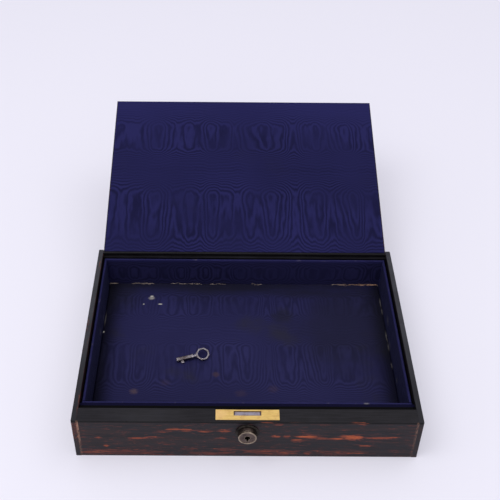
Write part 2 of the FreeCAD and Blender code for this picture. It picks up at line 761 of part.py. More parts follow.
def lock_barrel():
    """Turned barrel with a dished face; its flange bears on the case."""
    body = new_body("lock_barrel", "0", "nozzle_end", "lock_axis", along_y)
    section = new_sketch(body, "XZ_Plane", "barrel_section")
    flange_start = "barrel_length - flange_thickness"
    outline(section, [
        ("keyhole_radius", "nozzle_recess"), ("nozzle_radius - nozzle_lip", "nozzle_recess"),
        ("nozzle_radius - nozzle_lip", "0"), ("nozzle_radius", "0"),
        ("nozzle_radius", "nozzle_rim"), ("nozzle_radius - nozzle_groove", "nozzle_rim"),
        ("nozzle_radius - nozzle_groove", "nozzle_rim + nozzle_groove"),
        ("nozzle_radius", "nozzle_rim + nozzle_groove"),
        ("nozzle_radius", flange_start), ("flange_radius", flange_start),
        ("flange_radius", "barrel_length"), ("locking_plate_radius", "barrel_length"),
        ("locking_plate_radius", "locking_plate_start"), ("core_hole", "locking_plate_start"),
        ("core_hole", "nozzle_recess + nozzle_face"), ("keyhole_radius", "nozzle_recess + nozzle_face")])
    revolve(body, "barrel_turning", section)
    keyway = new_sketch(body, "XY_Plane", "barrel_keyway_plan")
    rectangle(keyway, "-keyway_half", "0", "keyway_half", "keyway_reach")
    pocket(body, "barrel_keyway", keyway, "nozzle_recess + nozzle_face", backwards=True)
    for name, x, y in (("low", "-barrel_screw_circle * sin(45)", "barrel_screw_circle * cos(45)"),
                       ("high", "barrel_screw_circle * sin(45)", "-barrel_screw_circle * cos(45)")):
        hole = body.newObject("PartDesign::SubtractiveCylinder", "barrel_thread_" + name)
        bind(hole, "Radius", "small_screw_radius")
        bind(hole, "Height", "flange_thickness")
        place(hole, x, y, flange_start)
    fillet(body, "nozzle_edges", "min(nozzle_round; nozzle_lip * 0.45)",
           lambda edge: near(edge.ZMin, 0.0) and near(edge.ZLength, 0.0))
    return body


def nozzle_ring():
    """Stepped ring that covers the edge of the bore in the front face."""
    body = new_body("nozzle_ring", "0", "front_face - ring_thickness", "lock_axis", along_y)
    section = new_sketch(body, "XZ_Plane", "ring_section")
    outline(section, [
        ("nozzle_radius + mortise_play", "0"), ("(nozzle_radius + ring_radius) / 2", "0"),
        ("ring_radius", "ring_thickness / 2"), ("ring_radius", "ring_thickness"),
        ("nozzle_radius + mortise_play", "ring_thickness")])
    revolve(body, "ring_turning", section)
    return body


def slider_angles():
    count = int(number("slider_count"))
    return [360.0 * index / count for index in range(count)]


def locking_plate():
    """A notched ring in two halves, held between the barrel's step and the case's spigot."""
    y = "nozzle_end + locking_plate_start"
    disc = rod("locking_disc", along_y, "locking_plate_radius", "locking_plate_thickness",
               "0", y, "lock_axis")
    hole = rod("locking_hole", along_y, "locking_plate_inner", "locking_plate_thickness",
               "0", y, "lock_axis")
    split = block("locking_split", "-locking_plate_split / 2", "locking_plate_split / 2", y,
                  y + " + locking_plate_thickness", "lock_axis - locking_plate_radius - overcut",
                  "lock_axis + locking_plate_radius + overcut")
    notches = []
    for index, angle in enumerate(slider_angles()):
        notch = doc.addObject("Part::Box", "locking_notch_%d" % index)
        bind(notch, "Length", "slider_outer + slider_play")
        bind(notch, "Width", "locking_plate_thickness")
        bind(notch, "Height", "2 * slider_slot_half")
        turn = Rotation(Vector(0, 1, 0), angle)
        place(notch, "-slider_slot_half * sin(%g)" % angle, y,
              "lock_axis - slider_slot_half * cos(%g)" % angle, turn)
        notches.append(notch)
    return cut("locking_plate", disc, hole, split, *notches)


def lock_core():
    """The core that the key turns; its crank pin, low at rest, lifts the bolt."""
    body = new_body("lock_core", "0", "nozzle_end", "lock_axis", along_y)
    section = new_sketch(body, "XZ_Plane", "core_section")
    outline(section, [
        ("core_bore", "core_start"), ("core_radius", "core_start"),
        ("core_radius", "locking_plate_start - slider_play"),
        ("groove_radius", "locking_plate_start - slider_play"),
        ("groove_radius", "locking_plate_end + slider_play"),
        ("core_radius", "locking_plate_end + slider_play"),
        ("core_radius", "core_shoulder"), ("core_disc_radius", "core_shoulder"),
        ("core_disc_radius", "core_end"), ("drill_pin_radius", "core_end"),
        ("drill_pin_radius", "core_floor"), ("core_bore", "core_floor")])
    revolve(body, "core_turning", section)
    slot_plan = new_sketch(body, "XY_Plane", "slider_slot_plan")
    rectangle(slot_plan, "0", "-slider_slot_half", "core_radius + overcut", "slider_slot_half")
    slot = pocket(body, "slider_slot", slot_plan, "core_floor", backwards=True)
    pattern = body.newObject("PartDesign::PolarPattern", "slider_slots")
    pattern.Originals = [slot]
    pattern.Axis = (slot_plan, ["N_Axis"])
    pattern.Angle = 360.0
    bind(pattern, "Occurrences", "slider_count")
    body.Tip = pattern
    keyway = new_sketch(body, "XY_Plane", "core_keyway_plan")
    rectangle(keyway, "-keyway_half", "0", "keyway_half", "keyway_reach")
    pocket(body, "core_keyway_slot", keyway, "core_keyway", backwards=True)
    crank_pin = body.newObject("PartDesign::AdditiveCylinder", "crank_pin")
    bind(crank_pin, "Radius", "crank_pin_radius")
    bind(crank_pin, "Height", "core_disc_thickness + crank_pin_length")
    place(crank_pin, "0", "crank_radius", "core_shoulder")
    return body


def drill_pin():
    start = "core_start + drill_pin_sink"
    return rod("drill_pin", along_y, "drill_pin_radius", "core_end - (%s)" % start,
               "0", "nozzle_end + " + start, "lock_axis")


def key_sliders():
    """One flat slider a slot: a leaf with a notch for the locking plate, and a tab that the key pushes."""
    play = number("slider_play")
    leaf_inner = number("core_bore") + play
    start, end = number("slider_start"), number("slider_end")
    tab_start, tab_end = number("slider_tab_start"), number("slider_tab_end")
    notch_start = number("locking_plate_start") - play
    notch_end = number("locking_plate_end") + play
    groove, outer, inner = number("groove_radius"), number("slider_outer"), number("slider_inner")
    points = [(leaf_inner, start), (outer, start), (outer, notch_start), (groove, notch_start),
              (groove, notch_end), (outer, notch_end), (outer, end), (leaf_inner, end),
              (leaf_inner, tab_end), (inner, tab_end), (inner, tab_start), (leaf_inner, tab_start),
              (leaf_inner, start)]
    half = number("slider_thickness") / 2
    leaf = Part.Face(Part.makePolygon([Vector(radius, depth, -half) for radius, depth in points]))
    slider = leaf.extrude(Vector(0, 0, 2 * half))
    copies = []
    for angle in slider_angles():
        copy = slider.copy()
        copy.rotate(Vector(0, 0, 0), Vector(0, 1, 0), angle)
        copies.append(copy)
    item = doc.addObject("Part::Feature", "key_sliders")
    item.Shape = Part.makeCompound(copies)
    place(item, "0", "nozzle_end", "lock_axis")
    return item


def tangent_arc(start, apex, end):
    """The arc that touches the lines from its two ends to their meeting point."""
    middle = (start + end) / 2
    reach = (start - apex).Length
    half_chord = (start - middle).Length
    towards = (middle - apex).normalize()
    return Part.Arc(start, apex + towards * (reach * (reach - half_chord) / (middle - apex).Length), end)


def coil_edges(radius, pitch, turns, steps_a_turn=4):
    """A helix as pairs of tangent arcs, each pair a quarter turn."""
    def on_helix(step):
        angle = 2 * math.pi * step / steps_a_turn
        point = Vector(radius * math.cos(angle), radius * math.sin(angle), pitch * step / steps_a_turn)
        slant = Vector(-radius * math.sin(angle), radius * math.cos(angle), pitch / (2 * math.pi))
        return point, slant.normalize()

    edges = []
    for step in range(int(turns * steps_a_turn)):
        first, leaving = on_helix(step)
        last, arriving = on_helix(step + 1)
        chord, both = last - first, leaving + arriving
        # the tangents' length makes the two arcs' joint lie midway between their meeting points
        square, linear = 4 - both.dot(both), chord.dot(both)
        length = (math.sqrt(linear ** 2 + square * chord.dot(chord)) - linear) / square
        first_apex, last_apex = first + leaving * length, last - arriving * length
        joint = (first_apex + last_apex) / 2
        edges.append(tangent_arc(first, first_apex, joint).toShape())
        edges.append(tangent_arc(joint, last_apex, last).toShape())
    return edges


def slider_spring():
    """A coil spring round the drill pin, between the sliders' tabs and the core's floor."""
    wire_radius, coil_radius = number("spring_wire_radius"), number("spring_radius")
    play, turns = number("slider_play"), number("spring_turns")
    length = number("core_floor") - number("slider_tab_end") - 2 * (wire_radius + play)
    path = Part.Wire(coil_edges(coil_radius, length / turns, turns))
    section = Part.Wire(Part.makeCircle(wire_radius, Vector(coil_radius, 0, 0), Vector(0, 1, 0)))
    spring = path.makePipeShell([section], True)
    print("spring: least gap between turns %.3f mm," % (length / turns - 2 * wire_radius),
          "volume over its wire's section times its length:",
          round(spring.Volume / (section.Length * wire_radius / 2 * path.Length), 4))
    item = doc.addObject("Part::Feature", "slider_spring")
    item.Shape = spring
    place(item, "0", "nozzle_end + slider_tab_end + spring_wire_radius + slider_play", "lock_axis", along_y)
    return item


# Key, drawn in its own frame: Z from the tip to the bow, X on the bit's side

def key():
    """The key lies on its bow's edge and on its open end, so the bow's plane leans."""
    flat = Rotation(Vector(0, -1, 0), Vector(0, 0, -1), Vector(1, 0, 0), "ZXY")
    roll = Rotation(Vector(0, 0, 1), number("key_roll"))
    climb = Rotation(Vector(1, 0, 0), Vector(1, 0, number("key_climb")))
    heading = Rotation(Vector(0, 0, 1), number("key_heading"))
    body = new_body("key", "key_across", "key_along", "key_level", heading * climb * flat * roll)
    section = new_sketch(body, "XZ_Plane", "key_section")
    outline(section, [
        ("0", "key_bore_depth"), ("key_bore_radius", "key_bore_depth"), ("key_bore_radius", "0"),
        ("key_shank_radius", "0"), ("key_shank_radius", "key_shank_length"),
        ("key_collar_radius", "key_shank_length"), ("key_collar_radius", "collar_end"),
        ("key_neck_radius", "collar_end"), ("key_neck_radius", "collar_two"),
        ("key_bead_radius", "collar_two"), ("key_bead_radius", "neck_start"),
        ("key_neck_radius", "neck_start"), ("key_neck_radius", "neck_end"), ("0", "neck_end")])
    revolve(body, "key_turning", section)
    bow = body.newObject("PartDesign::AdditivePrism", "key_bow")
    bow.Polygon = 8
    bind(bow, "Circumradius", "key_bow_radius / cos(22.5)")
    bind(bow, "Height", "key_bow_thickness")
    bow_turn = Rotation(Vector(1, 0, 0), -90).multiply(Rotation(Vector(0, 0, 1), 22.5))
    place(bow, "0", "-key_bow_thickness / 2", "bow_centre", bow_turn)
    side = number("key_bow_thickness") / 2
    start = number("bow_centre") - number("key_bow_radius")
    fillet(body, "key_bow_edges", "key_bow_round",
           lambda edge: near(edge.YLength, 0.0) and near(abs(edge.YMin), side) and edge.ZMax > start + side)
    eye = body.newObject("PartDesign::SubtractiveCylinder", "key_eye")
    bind(eye, "Radius", "key_bow_hole")
    bind(eye, "Height", "key_bow_thickness + 2 * overcut")
    place(eye, "0", "-key_bow_thickness / 2 - overcut", "bow_centre", along_y)
    bit = body.newObject("PartDesign::AdditiveBox", "key_bit")
    bind(bit, "Length", "key_shank_radius - key_bore_radius + key_bit_reach - slider_play")
    bind(bit, "Width", "key_bit_width")
    bind(bit, "Height", "key_bit_length")
    place(bit, "key_bore_radius + slider_play", "-key_bit_width / 2", "key_bit_setback")
    for index, angle in enumerate(slider_angles()):
        slot = body.newObject("PartDesign::SubtractiveBox", "key_slot_%d" % index)
        bind(slot, "Length", "key_shank_radius + overcut")
        bind(slot, "Width", "key_slot_width")
        bind(slot, "Height", "key_slot_depth - key_slot_step * %d + overcut" % (index % 3))
        turn = Rotation(Vector(0, 0, 1), angle + 30.0)
        place(slot, "key_slot_width / 2 * sin(%g)" % (angle + 30.0),
              "-key_slot_width / 2 * cos(%g)" % (angle + 30.0), "-overcut", turn)
    return body


pieces = [
    front_board(), front_facing(), side_board("left_side_board", -1), side_board("right_side_board", 1),
    back_board(), *base(), front_ledge(),
    cross_liner("liner_front", "liner_front_outer"), cross_liner("liner_back", "liner_back_inner"),
    side_liner("liner_left", -1), side_liner("liner_right", 1), floor_panel(),
    lid_board(), lid_lining(), hinge_pins(),
    lock_plate(), lock_screws(), lock_case(), case_screws(), lock_barrel(), barrel_screws(), nozzle_ring(),
    locking_plate(), lock_core(), drill_pin(), key_sliders(), slider_spring(), lock_bolt(),
    key(),
]

doc.recompute()

failed = [item.Name for item in doc.Objects if "Invalid" in item.State or "Error" in item.State]
if failed:
    raise RuntimeError("failed objects: " + ", ".join(failed))

for piece in pieces:
    piece.Label = piece.Name
    shape = piece.Shape
    if shape.isNull() or not shape.isValid():
        raise RuntimeError(piece.Label + " has no valid shape")
    print("%-18s solids %d  volume %.1f mm3" % (piece.Label, len(shape.Solids), shape.Volume))
    shape.exportStep("parts/%s.step" % piece.Label)

print(len(pieces), "pieces written")
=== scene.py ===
import math
import bpy
import numpy as np
from mathutils import Matrix, Vector


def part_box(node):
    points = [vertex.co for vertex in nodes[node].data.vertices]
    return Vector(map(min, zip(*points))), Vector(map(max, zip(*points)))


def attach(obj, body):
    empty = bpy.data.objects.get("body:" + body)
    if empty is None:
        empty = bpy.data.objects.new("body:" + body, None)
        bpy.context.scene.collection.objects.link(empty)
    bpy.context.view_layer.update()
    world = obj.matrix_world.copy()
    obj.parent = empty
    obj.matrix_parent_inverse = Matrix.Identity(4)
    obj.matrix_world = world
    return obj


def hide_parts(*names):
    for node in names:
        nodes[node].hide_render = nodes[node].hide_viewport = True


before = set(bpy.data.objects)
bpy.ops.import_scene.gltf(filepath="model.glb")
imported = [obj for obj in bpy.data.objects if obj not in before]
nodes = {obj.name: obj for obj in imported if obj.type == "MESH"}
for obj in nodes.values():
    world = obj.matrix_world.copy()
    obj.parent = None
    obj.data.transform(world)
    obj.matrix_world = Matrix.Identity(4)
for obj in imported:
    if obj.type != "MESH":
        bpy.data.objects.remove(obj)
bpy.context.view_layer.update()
print("frame loaded:", len(nodes), "nodes")


# Camera: forward is turned by yaw about Z and pitched down, right and up are rolled about it
view = {"place": (-0.023, -0.68395, 0.7646), "pitch": 41.07, "yaw": 0.27, "roll": 0.55,
        "focalPixels": 896.0, "framePixels": 500, "shift": 0.0427}


def addCamera(values):
    pitch, yaw, roll = (math.radians(values[key]) for key in ("pitch", "yaw", "roll"))
    ahead = Vector((math.sin(yaw), math.cos(yaw), 0))
    level = Vector((math.cos(yaw), -math.sin(yaw), 0))
    upright = Vector((0, 0, 1))
    forward = ahead * math.cos(pitch) - upright * math.sin(pitch)
    lifted = ahead * math.sin(pitch) + upright * math.cos(pitch)
    right = level * math.cos(roll) + lifted * math.sin(roll)
    up = lifted * math.cos(roll) - level * math.sin(roll)
    data = bpy.data.cameras.new("camera")
    data.sensor_width = 36
    data.lens = 36 * values["focalPixels"] / values["framePixels"]
    data.shift_x = values["shift"]
    camera = bpy.data.objects.new("camera", data)
    bpy.context.scene.collection.objects.link(camera)
    turn = Matrix((right, up, -forward)).transposed().to_4x4()
    camera.matrix_world = Matrix.Translation(values["place"]) @ turn
    bpy.context.scene.camera = camera


addCamera(view)
bpy.context.scene.view_settings.view_transform = "Standard"


# Node helpers: put() adds a node, and connect() fills sockets with numbers or with other nodes' outputs

def connect(tree, sockets, values):
    for key, value in values.items():
        if isinstance(value, bpy.types.NodeSocket):
            tree.links.new(value, sockets[key])
        else:
            sockets[key].default_value = value


def put(tree, kind, inputs=None, **settings):
    node = tree.nodes.new("ShaderNode" + kind)
    for key, value in settings.items():
        setattr(node, key, value)
    connect(tree, node.inputs, inputs or {})
    return node


def calc(tree, operation, first, second=0.0):
    return put(tree, "Math", {0: first, 1: second}, operation=operation).outputs[0]


def times(tree, first, second):
    return calc(tree, "MULTIPLY", first, second)


def plus(tree, first, second):
    return calc(tree, "ADD", first, second)


def less(tree, first, second):
    return calc(tree, "SUBTRACT", first, second)


def most(tree, first, second):
    return calc(tree, "MAXIMUM", first, second)


def vectorCalc(tree, operation, first, second=None):
    inputs = {0: first} if second is None else {0: first, 1: second}
    return put(tree, "VectorMath", inputs, operation=operation).outputs


def axis(tree, vector, name):
    return put(tree, "SeparateXYZ", {0: vector}).outputs[name]


def objectPlace(tree):
    return put(tree, "TexCoord").outputs["Object"]


def faceNormal(tree):
    return put(tree, "NewGeometry").outputs["Normal"]


def fade(tree, value, low, high, start=0.0, end=1.0):
    # a smooth step from start to end as the value goes from low to high
    inputs = {"Value": value, "From Min": low, "From Max": high, "To Min": start, "To Max": end}
    return put(tree, "MapRange", inputs, interpolation_type="SMOOTHSTEP").outputs["Result"]


def blend(tree, share, first, second, way="MIX"):
    first, second = (end if isinstance(end, bpy.types.NodeSocket) else (*end, 1) for end in (first, second))
    return put(tree, "Mix", {0: share, 6: first, 7: second}, data_type="RGBA", blend_type=way).outputs[2]


def scaled(tree, vector, factors):
    return vectorCalc(tree, "MULTIPLY", vector, factors)[0]


def moved(tree, vector, offset):
    return vectorCalc(tree, "ADD", vector, offset)[0]


def noise(tree, vector, scale=1.0, detail=3.0, roughness=0.5, distortion=0.0):
    inputs = {"Vector": vector, "Scale": scale, "Detail": detail, "Roughness": roughness,
              "Distortion": distortion}
    return put(tree, "TexNoise", inputs).outputs["Fac"]


def newGroup(name, inputs, outputs):
    tree = bpy.data.node_groups.new(name, "ShaderNodeTree")
    for label, kind, value in inputs:
        socket = tree.interface.new_socket(label, in_out="INPUT", socket_type="NodeSocket" + kind)
        if value is not None:
            socket.default_value = value
    for label in outputs:
        tree.interface.new_socket(label, in_out="OUTPUT", socket_type="NodeSocketFloat")
    return tree, tree.nodes.new("NodeGroupInput").outputs, tree.nodes.new("NodeGroupOutput").inputs


def useGroup(tree, group, inputs):
    node = tree.nodes.new("ShaderNodeGroup")
    node.node_tree = group
    connect(tree, node.inputs, inputs)
    return node.outputs


# Shared effects

def edgeWearGroup():
    # worn where the surface turns within the radius, broken up by noise
    tree, given, made = newGroup("edgeWear", [("Radius", "Float", 0.0006), ("Patch Scale", "Float", 120.0),
                                              ("Amount", "Float", 0.5)], ["Worn"])
    softened = put(tree, "Bevel", {"Radius": given["Radius"]}, samples=6).outputs[0]
    agreement = vectorCalc(tree, "DOT_PRODUCT", softened, faceNormal(tree))["Value"]
    turned = fade(tree, less(tree, 1.0, agreement), 0.01, 0.12)
    patches = noise(tree, objectPlace(tree), given["Patch Scale"], 4.0, 0.65)
    least = less(tree, 0.85, given["Amount"])
    broken = fade(tree, less(tree, patches, least), 0.0, 0.25)
    tree.links.new(times(tree, turned, broken), made["Worn"])
    return tree


def dustGroup():
    # fine pale specks and a thin film, heavier on faces that look up
    tree, given, made = newGroup("dust", [("Amount", "Float", 0.3)], ["Film"])
    place = objectPlace(tree)
    specks = fade(tree, noise(tree, place, 900.0, 2.0, 0.6), 0.66, 0.74)
    cloud = fade(tree, noise(tree, place, 14.0, 4.0, 0.6), 0.42, 0.75)
    lying = fade(tree, axis(tree, faceNormal(tree), "Z"), 0.2, 0.95)
    film = plus(tree, times(tree, specks, 0.6), times(tree, cloud, 0.35))
    tree.links.new(times(tree, times(tree, film, lying), given["Amount"]), made["Film"])
    return tree


def spotGroup():
    # a soft round mark with a ragged edge: one at its centre, nothing beyond its size
    tree, given, made = newGroup("spot", [("Vector", "Vector", None), ("Centre", "Vector", None),
                                          ("Size", "Vector", None)], ["Mark"])
    offset = vectorCalc(tree, "SUBTRACT", given["Vector"], given["Centre"])[0]
    unit = vectorCalc(tree, "DIVIDE", offset, given["Size"])[0]
    away = vectorCalc(tree, "LENGTH", unit)["Value"]
    # the noise is moved by a multiple of the centre, so that no two marks are ragged alike
    apart = moved(tree, unit, scaled(tree, given["Centre"], (61.0, 61.0, 61.0)))
    ragged = plus(tree, away, times(tree, noise(tree, apart, 2.3, 3.0, 0.6), 0.9))
    tree.links.new(fade(tree, ragged, 1.45, 0.7), made["Mark"])
    return tree


def grainGroup():
    # long fine lines: noise squeezed across the grain, with a slow wave so that no line is straight
    tree, given, made = newGroup("grain", [("Vector", "Vector", None), ("Squeeze", "Vector", None)],
                                 ["Fine", "Broad"])
    sway = times(tree, noise(tree, given["Vector"], 9.0, 2.0, 0.5), 0.006)
    bent = moved(tree, given["Vector"], put(tree, "CombineXYZ", {"Y": sway, "Z": sway}).outputs[0])
    along = scaled(tree, bent, given["Squeeze"])
    tree.links.new(noise(tree, along, 1.0, 5.0, 0.65), made["Fine"])
    tree.links.new(noise(tree, along, 0.22, 3.0, 0.55, 0.6), made["Broad"])
    return tree


# Watered silk's pattern, in turns of the ribs' shift, and the ribs' pitch in metres
moire = {"columnPull": 1.5, "ripple": (190.0, 45.0, 1.0), "risePower": 0.55, "lean": 1.9, "least": 0.15,
         "rippleTurns": 1.1, "drift": 15.0, "levelLines": 210.0, "levelLean": 4.0, "levelRipple": 0.9,
         "levelStrength": 0.42, "ribPitch": 0.00062}


def wave(tree, turns):
    return calc(tree, "SINE", times(tree, turns, 2 * math.pi))


def wateredGroup(values):
    # Two ribbed layers pressed together. In a band the shift between their ribs grows to a plateau that
    # differs from column to column, so the sine of it draws tall nested rings, closed by wavy lines at the
    # band's ends.
    tree, given, made = newGroup("watered", [("Vector", "Vector", None), ("Bands", "Float", 0.0),
                                             ("Columns", "Float", 30.0), ("Rings", "Float", 9.0)],
                                 ["Mark", "Rib", "Slow"])
    parts = put(tree, "SeparateXYZ", {0: given["Vector"]}).outputs
    column = put(tree, "CombineXYZ", {"X": times(tree, parts["X"], given["Columns"]),
                                      "Y": times(tree, parts["Y"], values["columnPull"])}).outputs[0]
    lean = noise(tree, column, 1.0, 1.2, 0.4)
    ripple = noise(tree, scaled(tree, given["Vector"], values["ripple"]), 1.0, 1.0, 0.5)
    rise = calc(tree, "POWER", given["Bands"], values["risePower"])
    plateau = plus(tree, times(tree, lean, times(tree, given["Rings"], values["lean"])),
                   times(tree, given["Rings"], values["least"]))
    turns = times(tree, rise, plateau)
    turns = plus(tree, turns, times(tree, ripple, times(tree, rise, values["rippleTurns"])))
    turns = plus(tree, turns, times(tree, parts["Y"], values["drift"]))
    faint = fade(tree, noise(tree, given["Vector"], 15.0, 2.0, 0.5), 0.38, 0.58, 0.35, 1.0)
    strength = times(tree, faint, fade(tree, given["Bands"], 0.0, 0.5, 0.22, 1.0))
    # between the bands lie fine level lines, wavy and faint
    across = plus(tree, times(tree, parts["Y"], values["levelLines"]), times(tree, lean, values["levelLean"]))
    across = plus(tree, across, times(tree, ripple, values["levelRipple"]))
    calm = times(tree, fade(tree, given["Bands"], 0.35, 0.0, 0.0, values["levelStrength"]), faint)
    fine = times(tree, wave(tree, across), calm)
    tree.links.new(plus(tree, times(tree, wave(tree, turns), strength), fine), made["Mark"])
    tree.links.new(wave(tree, times(tree, parts["Y"], 1 / values["ribPitch"])), made["Rib"])
    tree.links.new(noise(tree, given["Vector"], 7.0, 3.0, 0.5), made["Slow"])
    return tree


edgeWear = edgeWearGroup()
dust = dustGroup()
spot = spotGroup()
grain = grainGroup()
watered = wateredGroup(moire)


def newMaterial(name):
    material = bpy.data.materials.new(name)
    material.use_nodes = True
    tree = material.node_tree
    shader = tree.nodes["Principled BSDF"]
    return material, tree, shader


def addMarks(tree, vector, colour, marks):
    # lays the listed marks over a colour: each has a centre, a size, a colour and a strength
    for centre, size, tint, strength in marks:
        mark = useGroup(tree, spot, {"Vector": vector, "Centre": centre, "Size": size})["Mark"]
        colour = blend(tree, times(tree, mark, strength), colour, tint)
    return colour


def addBump(tree, shader, height, distance, strength=1.0):
    bump = put(tree, "Bump", {"Height": height, "Distance": distance, "Strength": strength})
    tree.links.new(bump.outputs[0], shader.inputs["Normal"])


# The open lid leans on its back edge: its own Y runs up the slope and its own Z stands out of the silk
lidPins = np.array((0.0, 0.126, 0.0534))
lidSlope = math.radians(17)
lidUp = np.array((0.0, math.cos(lidSlope), math.sin(lidSlope)))
lidOut = np.array((0.0, -math.sin(lidSlope), math.cos(lidSlope)))

# Wood. The streaks are flames of noise, let through where a streak's zone lies
ebony = {
    "dark": (0.0135, 0.0128, 0.0155), "pale": (0.0245, 0.0225, 0.0275), "worn": (0.085, 0.05, 0.036),
    "brown": (0.055, 0.028, 0.024), "roughness": 0.46, "specular": 0.13, "grainDepth": 0.00005,
    "flame": (0.44, 0.098, 0.034), "flameFrom": (0.66, 0.8), "ember": (0.12, 0.032, 0.025),
    "emberFrom": (0.53, 0.71), "emberShift": 45, "reach": 0.25, "jag": 0.0022, "joint": (0.3, 0.16, 0.11),
    # the rim colours are a painted grey reflection on the top of the rim
    "arris": (0.0045, 0.004, 0.005), "recessShade": (0.0026, 0.0026, 0.003), "rim": (0.037, 0.038, 0.044),
    "rimReflectionFaint": (0.018, 0.018, 0.0215), "dust": (0.2, 0.19, 0.2), "dustAmount": 0.06}

# centre across and up, half length and half height, and strength of each streaked zone on the front
frontZones = [
    (-0.1493, 0.0296, 0.005, 0.003, 0.75), (-0.1428, 0.0171, 0.004, 0.0034, 0.85),
    (-0.1115, 0.0292, 0.015, 0.0026, 0.9), (-0.0958, 0.0307, 0.015, 0.0026, 0.8),
    (-0.0834, 0.0401, 0.011, 0.0033, 0.6), (-0.0742, 0.0438, 0.013, 0.0031, 0.8),
    (-0.0623, 0.0428, 0.011, 0.0032, 0.7), (-0.0418, 0.0413, 0.012, 0.0033, 0.95),
    (-0.0233, 0.0416, 0.01, 0.0039, 1.05), (-0.0253, 0.0296, 0.008, 0.0024, 0.9),
    (-0.0584, 0.0122, 0.012, 0.0038, 0.7), (-0.0217, 0.0106, 0.019, 0.0041, 0.75),
    (-0.1268, 0.0064, 0.066, 0.0075, 0.62), (-0.0365, 0.0051, 0.035, 0.0055, 0.6),
    (0.0217, 0.0556, 0.012, 0.002, 0.9), (0.0312, 0.0525, 0.008, 0.0036, 0.75),
    (0.077, 0.0513, 0.011, 0.0026, 0.5), (0.1099, 0.0547, 0.017, 0.0032, 1.15),
    (0.0291, 0.033, 0.008, 0.0034, 1.1), (0.0396, 0.0331, 0.006, 0.0034, 0.9),
    (0.0506, 0.0268, 0.011, 0.0037, 1.05), (0.0623, 0.0332, 0.018, 0.0057, 1.25),
    (0.0751, 0.0305, 0.011, 0.0034, 1.1), (0.0898, 0.0296, 0.015, 0.0034, 1.1),
    (0.1062, 0.0321, 0.019, 0.007, 1.2), (0.134, 0.0316, 0.029, 0.0033, 0.8),
    (0.1203, 0.0184, 0.011, 0.0035, 0.9), (0.0625, 0.0064, 0.007, 0.0041, 0.9),
    (0.0214, 0.0075, 0.059, 0.0071, 0.6), (0.0922, 0.0073, 0.042, 0.0057, 0.5)]


# where the painted shade inside the box starts and where it is full: on the sides, front and back, and below
# the rim
recessShade = {"side": (0.1698, 0.1694), "front": (-0.1124, -0.1119), "back": (0.1218, 0.1208),
          "top": (0.0553, 0.0549)}


def insideBoxShadeMask(tree, place):
    # one on the faces that look into the box below the rim, where the painted shade goes
    parts = put(tree, "SeparateXYZ", {0: place}).outputs
    across = fade(tree, calc(tree, "ABSOLUTE", parts["X"]), *recessShade["side"])
    deep = times(tree, fade(tree, parts["Y"], *recessShade["front"]), fade(tree, parts["Y"], *recessShade["back"]))
    low = fade(tree, parts["Z"], *recessShade["top"])
    return times(tree, across, times(tree, deep, low))


def addDustAndRecessShade(tree, place, colour, values):
    # dust on what faces up, then painted shade that darkens the faces inside the box
    film = useGroup(tree, dust, {"Amount": values["dustAmount"]})["Film"]
    colour = blend(tree, film, colour, values["dust"])
    return blend(tree, insideBoxShadeMask(tree, place), colour, ebony["recessShade"])


def zoneMask(tree, place, zones):
    # the strength of the strongest zone at each place, nothing between the zones
    onFace = scaled(tree, place, (1, 0, 1))
    mask = None
    for across, up, length, height, strength in zones:
        mark = useGroup(tree, spot, {
            "Vector": onFace, "Centre": (across, 0, up), "Size": (length, 1, height)})["Mark"]
        level = times(tree, mark, strength)
        mask = level if mask is None else most(tree, mask, level)
    return mask


def streaks(tree, place, squeeze, zones, general, fineLines):
    # flames and embers: squeezed noise over a threshold, which zones and the general level lower
    jag = times(tree, less(tree, noise(tree, place, 170.0, 3.0, 0.6), 0.5), ebony["jag"])
    jagged = moved(tree, place, put(tree, "CombineXYZ", {"X": jag, "Y": jag, "Z": jag}).outputs[0])
    flameSqueeze = tuple(v * 0.7 for v in squeeze)
    emberSqueeze = tuple(v * 0.95 + ebony["emberShift"] for v in squeeze)
    flame = noise(tree, scaled(tree, jagged, flameSqueeze), 1.0, 3.0, 0.6, 0.5)
    ember = noise(tree, scaled(tree, jagged, emberSqueeze), 1.0, 4.0, 0.62, 0.6)
    if zones:
        mask = zoneMask(tree, place, zones)
        reach = times(tree, mask, ebony["reach"])
        glow = fade(tree, mask, 0.75, 1.3, 0.5, 1.0)
    else:
        # without zones the streaks gather in slow bands along the grain
        slow = noise(tree, scaled(tree, place, tuple(v * 0.05 for v in squeeze)), 1.0, 2.0, 0.5)
        general = fade(tree, slow, 0.38, 0.66, general - 0.1, general + 0.07)
        reach = 0.0
        glow = 0.8
    flame = fade(tree, plus(tree, plus(tree, flame, reach), general), *ebony["flameFrom"])
    flame = times(tree, flame, fade(tree, fineLines, 0.4, 0.56, 0.2, 1.0))
    ember = fade(tree, plus(tree, plus(tree, ember, reach), general), *ebony["emberFrom"])
    ember = times(tree, ember, fade(tree, fineLines, 0.38, 0.55, 0.35, 1.0))
    return times(tree, flame, glow), ember


# where the front's dark arris, its chipped joint line and its rim start, and where each is full
frontEdges = {
    "arrisUp": (0.0528, 0.0539), "arrisFront": (-0.1268, -0.1278), "jointGap": (0.0016, 0.0006),
    "jointFront": (-0.127, -0.1281), "jointUp": (0.004, 0.05, 0.3, 1.0),
    "jointSide": (-0.01, 0.01, 1.0, 0.45), "chips": (900, 200, 230), "rimFront": (-0.1285, -0.128),
    "rimReflectionFrom": (-0.1, 0.03)}
# the lid's black edges, up the slope from the pins and across from the middle
lidEdges = {"front": (0.2366, 0.2371), "back": (0.0011, 0.0004), "side": (0.1683, 0.1687)}


